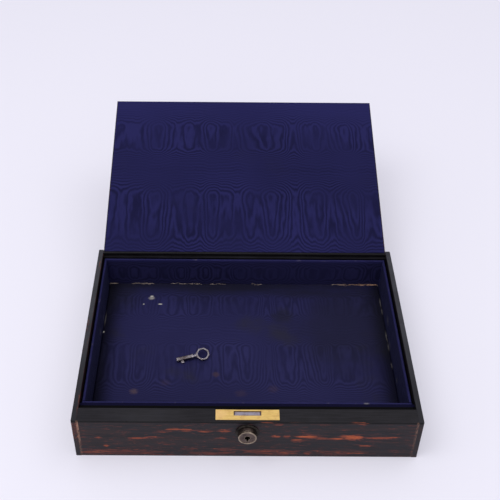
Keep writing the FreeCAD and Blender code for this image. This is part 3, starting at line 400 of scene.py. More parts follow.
def addFrontEdges(tree, place, colour, flame, jointAt, values):
    # the top of the face is dark, the joint beside it shows as a chipped pale line
    parts = put(tree, "SeparateXYZ", {0: place}).outputs
    unlit = less(tree, 1.0, flame)
    arris = times(tree, fade(tree, parts["Z"], *values["arrisUp"]),
                  fade(tree, parts["Y"], *values["arrisFront"]))
    colour = blend(tree, times(tree, arris, unlit), colour, ebony["arris"])
    gap = calc(tree, "ABSOLUTE", less(tree, calc(tree, "ABSOLUTE", parts["X"]), jointAt))
    line = times(tree, fade(tree, parts["Y"], *values["jointFront"]),
                 fade(tree, parts["Z"], *values["jointUp"]))
    line = times(tree, fade(tree, gap, *values["jointGap"]), line)
    line = times(tree, line, fade(tree, parts["X"], *values["jointSide"]))
    chips = noise(tree, scaled(tree, place, values["chips"]), 1.0, 3.0, 0.6)
    line = times(tree, line, fade(tree, chips, 0.42, 0.58, 0.22, 1.0))
    colour = blend(tree, line, colour, ebony["joint"])
    # the rim is black wood with a painted grey reflection on its top, paler towards the back
    onTop = fade(tree, axis(tree, faceNormal(tree), "Z"), 0.6, 0.9)
    onTop = times(tree, onTop, fade(tree, parts["Y"], *values["rimFront"]))
    tone = blend(tree, fade(tree, parts["Y"], *values["rimReflectionFrom"]), ebony["rimReflectionFaint"], ebony["rim"])
    patches = fade(tree, noise(tree, place, 60.0, 4.0, 0.6), 0.35, 0.7, 0.0, 0.55)
    tone = blend(tree, patches, tone, ebony["dark"])
    return blend(tree, times(tree, onTop, unlit), colour, tone)


def addLidEdges(tree, place, colour, values):
    upSlope = vectorCalc(tree, "DOT_PRODUCT", place, tuple(float(v) for v in lidUp))["Value"]
    away = less(tree, upSlope, float(lidPins @ lidUp))
    edge = most(tree, fade(tree, away, *values["front"]), fade(tree, away, *values["back"]))
    across = calc(tree, "ABSOLUTE", axis(tree, place, "X"))
    edge = most(tree, edge, fade(tree, across, *values["side"]))
    return blend(tree, edge, colour, ebony["arris"])


def streakedWood(name, squeeze, zones, general, jointAt):
    material, tree, shader = newMaterial(name)
    place = objectPlace(tree)
    lines = useGroup(tree, grain, {"Vector": place, "Squeeze": squeeze})
    flame, ember = streaks(tree, place, squeeze, zones, general, lines["Fine"])
    colour = blend(tree, fade(tree, lines["Fine"], 0.35, 0.68), ebony["dark"], ebony["pale"])
    colour = blend(tree, fade(tree, lines["Broad"], 0.42, 0.72, 0.0, 0.35), colour, ebony["brown"])
    colour = blend(tree, ember, colour, ebony["ember"])
    colour = blend(tree, flame, colour, ebony["flame"])
    worn = useGroup(tree, edgeWear, {"Radius": 0.0006, "Patch Scale": 90.0, "Amount": 0.3})["Worn"]
    colour = blend(tree, times(tree, worn, 0.6), colour, ebony["worn"])
    if jointAt:
        colour = addFrontEdges(tree, place, colour, flame, jointAt, frontEdges)
    else:
        colour = addLidEdges(tree, place, colour, lidEdges)
    colour = addDustAndRecessShade(tree, place, colour, ebony)
    rough = plus(tree, fade(tree, lines["Fine"], 0.3, 0.8, -0.06, 0.1), ebony["roughness"])
    rough = plus(tree, rough, times(tree, worn, 0.15))
    connect(tree, shader.inputs, {
        "Base Color": colour, "Roughness": rough, "Specular IOR Level": ebony["specular"]})
    addBump(tree, shader, less(tree, lines["Fine"], times(tree, worn, 0.5)), ebony["grainDepth"])
    return material


blackStain = {
    "dark": (0.0062, 0.0056, 0.007), "pale": (0.0138, 0.0128, 0.0155), "patch": (0.017, 0.0165, 0.021),
    "worn": (0.05, 0.036, 0.031), "turnedSilk": (0.0046, 0.0042, 0.019), "turnedEdge": 0.0006,
    "dust": (0.2, 0.2, 0.22), "dustAmount": 0.08, "roughness": 0.5, "specular": 0.14, "grainDepth": 0.00004}


def blackWood(name, squeeze, marks=(), silkBehind=None, specular=blackStain["specular"]):
    material, tree, shader = newMaterial(name)
    place = objectPlace(tree)
    lines = useGroup(tree, grain, {"Vector": place, "Squeeze": squeeze})
    colour = blend(tree, fade(tree, lines["Fine"], 0.35, 0.7), blackStain["dark"], blackStain["pale"])
    patch = noise(tree, place, 26.0, 4.0, 0.6)
    colour = blend(tree, fade(tree, patch, 0.5, 0.8, 0.0, 0.5), colour, blackStain["patch"])
    worn = useGroup(tree, edgeWear, {"Radius": 0.0006, "Patch Scale": 140.0, "Amount": 0.34})["Worn"]
    colour = blend(tree, times(tree, worn, 0.45), colour, blackStain["worn"])
    colour = addMarks(tree, place, colour, marks)
    colour = addDustAndRecessShade(tree, place, colour, blackStain)
    if silkBehind:
        # the liner's silk is turned over and glued down on the back part of this piece
        uneven = times(tree, noise(tree, place, 120.0, 2.0, 0.5), blackStain["turnedEdge"])
        back = plus(tree, axis(tree, place, "Y"), uneven)
        covered = fade(tree, back, silkBehind, silkBehind + blackStain["turnedEdge"])
        colour = blend(tree, covered, colour, blackStain["turnedSilk"])
    rough = plus(tree, fade(tree, patch, 0.3, 0.8, -0.05, 0.12), blackStain["roughness"])
    rough = plus(tree, rough, times(tree, worn, 0.12))
    connect(tree, shader.inputs, {"Base Color": colour, "Roughness": rough, "Specular IOR Level": specular})
    addBump(tree, shader, lines["Fine"], blackStain["grainDepth"])
    return material


acrossGrain = (32.0, 620.0, 620.0)
alongGrain = (620.0, 32.0, 620.0)
sideJoint = 0.1689  # from the middle to the joint between the front and a side board
rimSpots = [((-0.1697, 0.1218, 0.0555), (0.0022, 0.0026, 0.0022), (0.075, 0.022, 0.016), 0.9)]
frontWood = streakedWood("streakedWoodFront", acrossGrain, frontZones, 0.0, sideJoint)
sideWood = streakedWood("streakedWoodSide", alongGrain, [], 0.03, sideJoint)
lidWood = streakedWood("streakedWoodLid", acrossGrain, [], 0.05, None)
rimWood = blackWood("blackWoodAcross", acrossGrain)
backWood = blackWood("blackWoodBack", acrossGrain, rimSpots, specular=0.05)
ledgeWood = blackWood("blackWoodLedge", acrossGrain, silkBehind=-0.1044, specular=0.02)
print("wood finishes made")


# Watered silk, for pieces whose UV is in metres from one corner of the card
silk = {
    "deep": (0.008, 0.0078, 0.04), "bright": (0.019, 0.0185, 0.09), "thread": (0.34, 0.29, 0.27),
    "fadedTone": (0.0175, 0.0165, 0.03), "rim": (0.0016, 0.0003), "roughness": 0.66, "specular": 0.06,
    "sheen": 0.05, "sheenRoughness": 0.35, "sheenTint": (0.3, 0.33, 0.95, 1), "markDepth": 0.00005,
    "ribHeight": 0.35}


def bandMask(tree, up, bands):
    # one inside each band: a band is given by where it starts, is full, stops being full and ends
    mask = None
    for start, full, still, end in bands:
        inside = times(tree, fade(tree, up, start, full), fade(tree, up, end, still))
        mask = inside if mask is None else most(tree, mask, inside)
    return mask


def wateredSilk(name, values, marks=(), wornRim=0.3):
    material, tree, shader = newMaterial(name)
    flat = put(tree, "UVMap", uv_map="cut").outputs[0]
    up = axis(tree, flat, "Y")
    pattern = useGroup(tree, watered, {"Vector": flat, "Bands": bandMask(tree, up, values["bands"]),
                                       "Columns": values["columns"], "Rings": values["rings"]})
    mark = times(tree, pattern["Mark"], values["contrast"])
    level = plus(tree, times(tree, mark, 0.5), values["level"])
    level = plus(tree, level, fade(tree, pattern["Slow"], 0.3, 0.7, -0.12, 0.12))
    # painted sheen: the silk grows lighter towards the lid's far edge
    if "paintedSheenRise" in values:
        low, high, gain = values["paintedSheenRise"]
        level = plus(tree, level, fade(tree, up, low, high, 0.0, gain))
    colour = blend(tree, most(tree, level, 0.0), silk["deep"], silk["bright"])
    faded = fade(tree, noise(tree, flat, 11.0, 4.0, 0.6), 0.52, 0.75, 0.0, values["faded"])
    colour = blend(tree, faded, colour, silk["fadedTone"])
    rim = put(tree, "Attribute", attribute_name="rimDistance", attribute_type="GEOMETRY").outputs["Fac"]
    rubbed = noise(tree, scaled(tree, flat, (45, 160, 1)), 1.0, 4.0, 0.7)
    rubbed = fade(tree, rubbed, 0.66 - wornRim * 0.3, 0.8 - wornRim * 0.3)
    if "backEdge" in values:
        rubbed = times(tree, rubbed, fade(tree, up, values["backEdge"] - 0.004, values["backEdge"]))
    if "face" in values:
        # painted shade: the card's face is made darker than its rim
        colour = blend(tree, fade(tree, rim, *values["edge"]), colour, values["face"], "MULTIPLY")
    if "shadedSides" in values:
        half, inward, tone = values["shadedSides"]
        fromMiddle = calc(tree, "ABSOLUTE", less(tree, axis(tree, flat, "X"), half))
        shade = fade(tree, fromMiddle, half - inward, half - 0.001)
        colour = blend(tree, times(tree, shade, shade), colour, tone, "MULTIPLY")
    colour = blend(tree, 1.0, colour, values["tint"], "MULTIPLY")
    worn = times(tree, fade(tree, rim, *silk["rim"]), rubbed)
    colour = blend(tree, times(tree, worn, wornRim), colour, silk["thread"])
    colour = addMarks(tree, flat, colour, marks)
    rough = plus(tree, times(tree, mark, -0.07), silk["roughness"])
    connect(tree, shader.inputs, {
        "Base Color": colour, "Roughness": rough, "Specular IOR Level": silk["specular"],
        "Sheen Weight": silk["sheen"], "Sheen Roughness": silk["sheenRoughness"],
        "Sheen Tint": silk["sheenTint"]})
    height = plus(tree, times(tree, pattern["Rib"], silk["ribHeight"]), mark)
    addBump(tree, shader, height, silk["markDepth"], 0.7)
    return material


# Cloth under the base: short fibres in two mixed directions
cloth = {"dark": (0.01, 0.01, 0.016), "pale": (0.03, 0.03, 0.042), "rubbed": (0.045, 0.043, 0.052),
         "specular": 0.1, "sheen": 0.3, "depth": 0.0002}


def woollenCloth(values):
    material, tree, shader = newMaterial("woollenCloth")
    place = objectPlace(tree)
    one = noise(tree, scaled(tree, place, (2600, 500, 900)), 1.0, 3.0, 0.7)
    other = noise(tree, scaled(tree, place, (500, 2600, 900)), 1.0, 3.0, 0.7)
    fibres = most(tree, one, other)
    colour = blend(tree, fade(tree, fibres, 0.45, 0.75), values["dark"], values["pale"])
    rubbed = fade(tree, noise(tree, place, 18.0, 4.0, 0.6), 0.55, 0.8, 0.0, 0.4)
    colour = blend(tree, rubbed, colour, values["rubbed"])
    connect(tree, shader.inputs, {
        "Base Color": colour, "Roughness": fade(tree, fibres, 0.3, 0.8, 0.98, 0.85),
        "Specular IOR Level": values["specular"], "Sheen Weight": values["sheen"]})
    addBump(tree, shader, fibres, values["depth"], 0.8)
    return material


# Metals. Brushing is noise stretched along the rubbing, tarnish is slow noise
def metal(name, values, marks=()):
    material, tree, shader = newMaterial(name)
    place = objectPlace(tree)
    brushed = noise(tree, scaled(tree, place, values["brush"]), 1.0, 4.0, 0.7)
    cloud = noise(tree, place, values["cloud"], 5.0, 0.62, 0.4)
    start = values["tarnishFrom"]
    tarnish = fade(tree, cloud, start, start + 0.22, 0.0, values["tarnish"])
    colour = blend(tree, fade(tree, brushed, 0.3, 0.72), values["low"], values["high"])
    colour = blend(tree, tarnish, colour, values["dull"])
    worn = useGroup(tree, edgeWear, {"Radius": values["wearRadius"], "Patch Scale": 420.0,
                                     "Amount": values["wear"]})["Worn"]
    pits = fade(tree, noise(tree, place, values["pitScale"], 3.0, 0.6), 0.68, 0.76, 0.0, values["pits"])
    colour = blend(tree, pits, colour, values["dull"])
    colour = blend(tree, worn, colour, values["bright"])
    colour = addMarks(tree, place, colour, marks)
    if "rubbedRim" in values:
        # the barrel's front edge, rubbed bright: a ring about the lock's axis
        centre, ring, front = values["rubbedRim"]
        aside = vectorCalc(tree, "SUBTRACT", place, centre)[0]
        away = vectorCalc(tree, "LENGTH", scaled(tree, aside, (1, 0, 1)))["Value"]
        rim = times(tree, fade(tree, away, *ring), fade(tree, axis(tree, place, "Y"), *front))
        patchy = fade(tree, cloud, 0.3, 0.62, 0.85, 0.35)
        colour = blend(tree, times(tree, rim, patchy), colour, values["bright"])
    rough = plus(tree, fade(tree, cloud, 0.35, 0.8, 0.0, values["roughSpread"]), values["roughness"])
    rough = less(tree, rough, times(tree, worn, 0.1))
    connect(tree, shader.inputs, {"Base Color": colour, "Roughness": rough, "Metallic": 1.0})
    height = less(tree, brushed, times(tree, pits, 1.5))
    addBump(tree, shader, height, values["depth"], 0.6)
    return material


brassPlate = {
    "brush": (60, 1900, 1900), "cloud": 130.0, "low": (0.66, 0.44, 0.125), "high": (0.9, 0.64, 0.22),
    "dull": (0.46, 0.25, 0.1), "tarnishFrom": 0.46, "tarnish": 0.5, "bright": (1.0, 0.8, 0.4),
    "wearRadius": 0.0004, "wear": 0.5, "pits": 0.25, "pitScale": 1400.0, "roughness": 0.34,
    "roughSpread": 0.12, "depth": 0.00003}
brassAged = {
    "brush": (900, 60, 900), "cloud": 160.0, "low": (0.075, 0.054, 0.048), "high": (0.155, 0.115, 0.098),
    "dull": (0.034, 0.026, 0.024), "tarnishFrom": 0.45, "tarnish": 0.65, "bright": (0.42, 0.34, 0.25),
    "rubbedRim": ((0, 0, 0.0401), (0.0077, 0.0082), (-0.1355, -0.1364)), "wearRadius": 0.0006, "wear": 0.6,
    "pits": 0.5, "pitScale": 1800.0, "roughness": 0.36, "roughSpread": 0.2, "depth": 0.00005}
brassRing = dict(brassAged, low=(0.016, 0.014, 0.012), high=(0.05, 0.042, 0.036),
                 dull=(0.007, 0.006, 0.006), wear=0.3, roughness=0.46)
# near-black brass for the lock's inner parts is painted shade deep in the barrel, seen through the keyhole
brassInShade = dict(brassAged, low=(0.02, 0.014, 0.01), high=(0.045, 0.032, 0.022),
                 dull=(0.01, 0.008, 0.007), wear=0.25, roughness=0.5)
boltSteel = {
    "brush": (40, 1500, 900), "cloud": 120.0, "low": (0.22, 0.195, 0.235), "high": (0.42, 0.39, 0.45),
    "dull": (0.12, 0.075, 0.075), "tarnishFrom": 0.48, "tarnish": 0.5, "bright": (0.72, 0.7, 0.76),
    "wearRadius": 0.0003, "wear": 0.45, "pits": 0.4, "pitScale": 1500.0, "roughness": 0.38,
    "roughSpread": 0.15, "depth": 0.00003}
keySteel = {
    "brush": (1600, 1600, 1600), "cloud": 230.0, "low": (0.09, 0.076, 0.076), "high": (0.47, 0.435, 0.45),
    "dull": (0.05, 0.03, 0.025), "tarnishFrom": 0.44, "tarnish": 0.7, "bright": (0.92, 0.89, 0.94),
    "wearRadius": 0.0005, "wear": 0.55, "pits": 0.6, "pitScale": 1300.0, "roughness": 0.18,
    "roughSpread": 0.2, "depth": 0.00004}

# marks: dark reddish lines round the bolt, painted shade and warm tones along the plate's edges, dull and
# bright places on the key
boltEdgeTone = (0.05, 0.018, 0.016)
boltMarks = [((-0.0135, -0.1178, 0.0547), (0.0016, 0.005, 0.003), boltEdgeTone, 0.9),
             ((0.0135, -0.1178, 0.0547), (0.0016, 0.005, 0.003), boltEdgeTone, 0.9),
             ((0.0, -0.1203, 0.0547), (0.03, 0.0009, 0.003), boltEdgeTone, 0.8),
             ((0.0, -0.1152, 0.0547), (0.03, 0.0008, 0.003), boltEdgeTone, 0.7)]
# the first plate mark is painted shade along the plate's back edge, where the edge turns down
plateMarks = [((0.0, -0.1125, 0.055), (0.07, 0.0012, 0.004), (0.06, 0.036, 0.02), 0.9),
              ((0.0, -0.1262, 0.055), (0.07, 0.0007, 0.004), (0.62, 0.3, 0.11), 0.6),
              ((-0.029, -0.119, 0.0555), (0.012, 0.008, 0.004), (0.9, 0.6, 0.26), 0.5),
              ((0.0, -0.1179, 0.0555), (0.016, 0.0036, 0.0006), (0.3, 0.12, 0.06), 0.7)]
keyMarks = [((-0.069, -0.0092, 0.0156), (0.01, 0.006, 0.006), (0.075, 0.054, 0.05), 0.6),
            ((-0.0755, -0.0112, 0.0156), (0.0018, 0.004, 0.004), (0.52, 0.48, 0.46), 0.5)]

finishes = [
    (frontWood, ["front_facing"]),
    (sideWood, ["left_side_board", "right_side_board"]),
    (lidWood, ["lid_board"]),
    (rimWood, ["front_board", "base_board"]),
    (backWood, ["back_board"]),
    (ledgeWood, ["front_ledge"]),
    (metal("plateBrass", brassPlate, plateMarks),
     ["lock_plate", "lock_screws", "lock_case", "case_screws", "barrel_screws"]),
    (metal("agedBrass", brassAged), ["lock_barrel"]),
    (metal("ringBrass", brassRing), ["nozzle_ring"]),
    (metal("shadedBrass", brassInShade), ["lock_core", "key_sliders", "drill_pin"]),
    (metal("boltSteel", boltSteel, boltMarks), ["lock_bolt", "locking_plate", "slider_spring", "hinge_pins"]),
    (metal("keySteel", keySteel, keyMarks), ["key"])]

for material, names in finishes:
    for name in names:
        slots = nodes[name].material_slots
        if not slots:
            nodes[name].data.materials.append(material)
        for place in slots:
            place.material = material
print("node finishes set")


# Silk-covered cards

def cosineRow(count):
    # shares from 0 to 1, closest together at both ends: half of one minus the cosine of pi times each step
    return 0.5 - 0.5 * np.cos(np.pi * np.arange(count + 1) / count)


def meshFrom(name, points, quads, cut, rimDistance):
    mesh = bpy.data.meshes.new(name)
    mesh.vertices.add(len(points))
    mesh.vertices.foreach_set("co", points.astype(np.float32).ravel())
    mesh.loops.add(quads.size)
    mesh.loops.foreach_set("vertex_index", quads.astype(np.int32).ravel())
    mesh.polygons.add(len(quads))
    mesh.polygons.foreach_set("loop_start", np.arange(0, quads.size, 4, dtype=np.int32))
    mesh.update(calc_edges=True)
    mesh.polygons.foreach_set("use_smooth", np.ones(len(quads), bool))
    layer = mesh.uv_layers.new(name="cut")
    layer.data.foreach_set("uv", cut[quads.ravel()].astype(np.float32).ravel())
    rim = mesh.attributes.new("rimDistance", "FLOAT", "POINT")
    rim.data.foreach_set("value", rimDistance.astype(np.float32))
    mesh.validate()
    piece = bpy.data.objects.new(name, mesh)
    bpy.context.scene.collection.objects.link(piece)
    return piece


def silkCard(name, values):
    # Both faces stand off a middle sheet by half the thickness times
    # (1 - (1 - edge distance / rounding) ^ power) ^ (1 / power). The front face also sinks a little: the
    # slack times a slow sum of sines, and the gather times a quick product of sines that dies out inwards.
    width, height = values["width"], values["height"]
    sideways, upwards, outwards, corner = (
        np.array(values[key], float) for key in ("sideways", "upwards", "outwards", "corner"))
    columns, rows = (cosineRow(count) for count in values["steps"])
    s, t = np.meshgrid(width * columns, height * rows, indexing="ij")
    foot, top = values["thickness"]
    thickness = foot + (top - foot) * t / height
    edge = np.minimum(np.minimum(s, width - s), np.minimum(t, height - t))
    inner = np.clip(1 - edge / values["rounding"], 0, 1)
    stand = (1 - inner ** values["power"]) ** (1 / values["power"])
    slack = 0.5 + 0.25 * np.sin(s * 71 + 2 * np.sin(t * 39)) + 0.25 * np.sin(t * 93 + 1.7 * np.sin(s * 53))
    folds = np.sin(s * 640 + 3 * np.sin(t * 210)) * np.sin(t * 590 + 3 * np.sin(s * 170))
    gathers = np.exp(-edge / 0.006) * (0.5 + 0.5 * folds)
    front = thickness / 2 * (1 + stand) - stand * (values["slack"] * slack + values["gather"] * gathers)
    back = thickness / 2 * (1 - stand)
    flat = corner + s[..., None] * sideways + t[..., None] * upwards
    frontPoints = (flat + front[..., None] * outwards).reshape(-1, 3)
    backPoints = (flat + back[..., None] * outwards).reshape(-1, 3)
    number = np.arange(s.size).reshape(s.shape)
    rim = np.ones(s.shape, bool)
    rim[1:-1, 1:-1] = False
    behind = number.copy()
    behind[~rim] = s.size + np.arange((~rim).sum())
    points = np.concatenate([frontPoints, backPoints[~rim.ravel()]])

    def tiles(index, order):
        around = [index[:-1, :-1], index[1:, :-1], index[1:, 1:], index[:-1, 1:]]
        return np.stack([around[i].ravel() for i in order], axis=1)

    quads = np.concatenate([tiles(number, (0, 1, 2, 3)), tiles(behind, (0, 3, 2, 1))])
    cut = np.stack([s.ravel(), t.ravel()], axis=1)
    cut = np.concatenate([cut, cut[~rim.ravel()]]) + np.array(values["cutStart"])
    away = np.concatenate([edge.ravel(), edge.ravel()[~rim.ravel()]])
    return meshFrom(name, points, quads, cut, away)


def corners(node):
    low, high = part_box(node)
    return np.array(low), np.array(high)


liningLow, liningHigh = corners("lid_lining")
floorLow, floorHigh = corners("floor_panel")
floorSize = floorHigh - floorLow
liningThick = 0.001
liningLength = (liningHigh[1] - liningLow[1]) / math.cos(lidSlope) - liningThick * math.tan(lidSlope)
# the lining starts a gap up the slope from the pins, and lies half the lid's thickness out from them
liningGap, lidHalf = 0.0003, 0.0021
lidCorner = lidPins + liningGap * lidUp + lidHalf * lidOut
lidCorner[0] = liningLow[0]

cards = {
    "lidSilk": {
        "replaces": "lid_lining", "body": "lid", "corner": lidCorner, "sideways": (1, 0, 0), "upwards": lidUp,
        "outwards": lidOut, "width": liningHigh[0] - liningLow[0], "height": liningLength,
        "thickness": (liningThick, liningThick), "rounding": 0.0014, "power": 2.2, "slack": 0.0001,
        "gather": 0.00006, "steps": (190, 130), "cutStart": (0, 0), "restsOn": "lid_board"},
    "floorSilk": {
        "replaces": "floor_panel", "body": "box", "corner": floorLow, "sideways": (1, 0, 0),
        "upwards": (0, 1, 0), "outwards": (0, 0, 1), "width": floorSize[0], "height": floorSize[1],
        "thickness": (0.005, 0.005), "rounding": 0.0024, "power": 2.4, "slack": 0.00018, "gather": 0.00012,
        "steps": (190, 130), "cutStart": (0, 0), "restsOn": "base_board"}}

# The four walls. A card runs sideways and up from a lower corner, and its silk faces outwards from it. Each
# is cut from its own stretch of silk, and the side walls thin towards the top.
wallCuts = {"front": 0.41, "back": 0.83, "left": 1.27, "right": 1.71}
walls = {
    "front": {"sideways": (-1, 0, 0), "outwards": (0, 1, 0), "steps": (180, 40)},
    "back": {"sideways": (1, 0, 0), "outwards": (0, -1, 0), "steps": (180, 40)},
    "left": {"sideways": (0, 1, 0), "outwards": (1, 0, 0), "steps": (150, 40), "topThick": 0.0027},
    "right": {"sideways": (0, -1, 0), "outwards": (-1, 0, 0), "steps": (150, 40), "topThick": 0.0027}}

for wall, values in walls.items():
    node = "liner_" + wall
    low, high = corners(node)
    size = high - low
    along, through = (0, 1) if values["sideways"][0] else (1, 0)
    turned = np.array(values["sideways"]) + np.array(values["outwards"]) < 0
    cards[wall + "LinerSilk"] = {
        "replaces": node, "body": "box", "corner": np.where(turned, high, low),
        "sideways": values["sideways"], "upwards": (0, 0, 1), "outwards": values["outwards"],
        "width": size[along], "height": size[2],
        "thickness": (size[through], values.get("topThick", size[through])), "rounding": 0.0014, "power": 2.0,
        "slack": 0.00016, "gather": 0.0001, "steps": values["steps"], "cutStart": (wallCuts[wall],) * 2,
        "restsOn": "base_board"}

threadColour = (0.3, 0.28, 0.26)
lipColour = (0.62, 0.6, 0.52)
stainColour = (0.052, 0.031, 0.04)
paleStain = (0.075, 0.05, 0.062)
paintedFloorShade = (0.0085, 0.0085, 0.013)


def silkMarks(startX, startY, rows):
    # marks on a card from rows of place, half length, half height, colour and strength
    return [((startX + x, startY + y, 0), (length, height, 1), colour, strength)
            for x, y, length, height, colour, strength in rows]


# the first four marks are painted shade: the floor darkened at the back under the lid, in the back-left
# corner and towards the right
floorMarks = silkMarks(-floorLow[0], -floorLow[1], [
    (0.125, 0.05, 0.09, 0.11, paintedFloorShade, 0.5), (0.0431, 0.0611, 0.018, 0.014, paintedFloorShade, 0.45),
    (-0.15, 0.1, 0.035, 0.05, paintedFloorShade, 0.55), (0.0, 0.123, 0.23, 0.042, paintedFloorShade, 0.75),
    (-0.1112, 0.0902, 0.005, 0.0036, threadColour, 0.8), (-0.1112, 0.0934, 0.0028, 0.0012, lipColour, 0.9),
    (-0.1004, 0.08, 0.0034, 0.0013, lipColour, 0.75), (-0.1201, 0.0798, 0.0014, 0.0014, lipColour, 0.5),
    (-0.0326, -0.0296, 0.0056, 0.0054, stainColour, 0.62), (-0.1212, -0.0545, 0.0062, 0.0054, paleStain, 0.7),
    (-0.0052, -0.0564, 0.0095, 0.0066, stainColour, 0.28), (-0.088, -0.042, 0.008, 0.006, stainColour, 0.2),
    (0.03, -0.05, 0.008, 0.007, stainColour, 0.28), (0.1632, 0.085, 0.0015, 0.01, threadColour, 0.3),
    (0.1634, 0.07, 0.0015, 0.007, threadColour, 0.3), (0.1634, 0.029, 0.0015, 0.012, threadColour, 0.3),
    (0.1636, 0.013, 0.0015, 0.008, threadColour, 0.3), (0.1636, -0.015, 0.0015, 0.006, threadColour, 0.3),
    (-0.1634, 0.055, 0.0015, 0.014, threadColour, 0.3), (-0.1634, 0.034, 0.002, 0.002, lipColour, 0.9)])
wallMarks = {
    "front": [(0.0465, 0.0418, 0.004, 0.0016, threadColour, 0.4)],
    "left": [(0.122, 0.015, 0.006, 0.005, threadColour, 0.1), (0.151, 0.01, 0.005, 0.004, threadColour, 0.1)],
    "right": [(0.074, 0.017, 0.01, 0.006, threadColour, 0.08),
              (0.102, 0.006, 0.008, 0.005, threadColour, 0.08),
              (0.157, 0.009, 0.004, 0.004, threadColour, 0.12)]}
for wall, rows in wallMarks.items():
    wallMarks[wall] = silkMarks(wallCuts[wall], wallCuts[wall], rows)

lidPattern = {
    "bands": [(-0.02, 0.027, 0.08, 0.12), (0.128, 0.16, 0.19, 0.226)], "columns": 28.0, "rings": 8.0,
    "contrast": 0.92, "level": 0.48, "paintedSheenRise": (0.15, 0.235, 0.4), "faded": 0.12, "tint": (0.8, 0.8, 0.86)}
floorPattern = {
    "bands": [(0.025, 0.064, 0.108, 0.136), (0.138, 0.164, 0.188, 0.214)], "columns": 34.0, "rings": 9.0,
    "contrast": 0.62, "level": 0.52, "faded": 0.8, "backEdge": floorSize[1] - 0.001,
    "shadedSides": (floorHigh[0], 0.03, (0.28, 0.28, 0.24)), "tint": (1.08, 1.08, 0.86)}


def wallBands(wall):
    start = wallCuts[wall]
    return [(start - 0.006, start + 0.016, start + 0.026, start + 0.048)]


# face darkens a liner's face below its rim with painted shade, most on the side walls
wallPattern = {
    "bands": wallBands("front"), "columns": 44.0, "rings": 5.0, "edge": (0.001, 0.0034), "contrast": 0.75,
    "level": 0.5, "faded": 0.3, "tint": (1.1, 1.1, 0.98), "face": (0.8, 0.8, 0.7)}
backPattern = dict(wallPattern, bands=wallBands("back"), edge=(0.0022, 0.0042))
sidePattern = dict(wallPattern, bands=wallBands("left") + wallBands("right"), contrast=0.5,
                   face=(0.42, 0.42, 0.31))
silks = {
    "lidSilk": wateredSilk("wateredSilkLid", lidPattern, wornRim=0.1),
    "floorSilk": wateredSilk("wateredSilkFloor", floorPattern, floorMarks, wornRim=0.9),
    "frontLinerSilk": wateredSilk("wateredSilkFront", wallPattern, wallMarks["front"], wornRim=0.25),
    "backLinerSilk": wateredSilk("wateredSilkBack", backPattern, wornRim=0.2),
    "leftLinerSilk": wateredSilk("wateredSilkLeft", sidePattern, wallMarks["left"], wornRim=0.3),
    "rightLinerSilk": wateredSilk("wateredSilkRight", sidePattern, wallMarks["right"], wornRim=0.3)}

for name, values in cards.items():
    piece = silkCard(name, values)
    piece.data.materials.append(silks[name])
    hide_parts(values["replaces"])
    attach(piece, values["body"])
print("silk cards made")


# Threads that lie loose along the floor's worn back edge. Each is a round tube swept along
# start + heading * length * share + curl * sin(pi * share), all of them as one block of arrays.
# A run has its start and end along the edge and its share of the threads.
fray = {"count": 150, "steps": 7, "radius": 0.00015, "length": (0.002, 0.0075), "curl": 0.0006,
        "spread": 0.22, "flattened": 0.3, "inset": 0.0008, "scatter": 0.0009, "sunk": 0.0001,
        "colour": (0.46, 0.37, 0.3), "warm": (0.52, 0.31, 0.2), "warmFrom": (0.1, 0.14),
        "shade": (0.03, 0.022, 0.03), "specular": 0.2, "depth": 0.00004, "seed": 11,
        "runs": [(-0.163, -0.157, 1.2), (-0.135, -0.11, 1.8), (-0.085, -0.05, 1.5), (-0.04, -0.028, 0.5),
                 (0.01, 0.022, 1.0), (0.112, 0.138, 2.2), (0.138, 0.163, 6)]}


def frayedThreads(values):
    random = np.random.default_rng(values["seed"])
    count, steps = values["count"], values["steps"]
    sides = 4  # so that one quad closes each end
    weights = np.array([weight for low, high, weight in values["runs"]], float)
    runs = np.array([(low, high) for low, high, weight in values["runs"]])
    runs = runs[random.choice(len(runs), count, p=weights / weights.sum())]
    share = np.linspace(0, 1, steps)
    heading = random.normal(0, values["spread"], count) + np.where(random.random(count) < 0.5, 0, np.pi)
    length = random.uniform(*values["length"], count)[:, None] * share
    arch = values["curl"] * np.sin(np.pi * share)
    startX = runs[:, 0] + (runs[:, 1] - runs[:, 0]) * random.random(count)
    startY = floorHigh[1] - values["inset"] - values["scatter"] * random.random(count)
    x = startX[:, None] + np.cos(heading)[:, None] * length
    y = startY[:, None] + np.sin(heading)[:, None] * length * values["flattened"]
    y = y + random.normal(0, 1, count)[:, None] * arch
    z = floorHigh[2] - values["sunk"] + random.random(count)[:, None] * arch
    x = np.clip(x, floorLow[0] + 0.0005, floorHigh[0] - 0.0005)
    line = np.stack([x, np.minimum(y, floorHigh[1] - 0.0002), z], axis=-1)
    along = np.gradient(line, axis=1)
    along /= np.linalg.norm(along, axis=-1, keepdims=True)
    beside = np.cross(along, (0.0, 0.0, 1.0))
    beside /= np.linalg.norm(beside, axis=-1, keepdims=True)
    above = np.cross(beside, along)
    turn = np.arange(sides) * 2 * np.pi / sides
    thin = values["radius"] * (1 - 0.6 * np.abs(2 * share - 1) ** 3)
    ring = beside[:, :, None] * np.cos(turn)[:, None] + above[:, :, None] * np.sin(turn)[:, None]
    points = (line[:, :, None] + ring * thin[:, None, None]).reshape(-1, 3)
    number = np.arange(count * steps * sides).reshape(count, steps, sides)
    beyond = np.roll(number, -1, axis=2)
    wall = np.stack([number[:, :-1], number[:, 1:], beyond[:, 1:], beyond[:, :-1]], axis=-1).reshape(-1, 4)
    quads = np.concatenate([wall, number[:, 0], number[:, -1, ::-1]])
    return meshFrom("frayedThreads", points, quads, points[:, :2], np.zeros(len(points)))


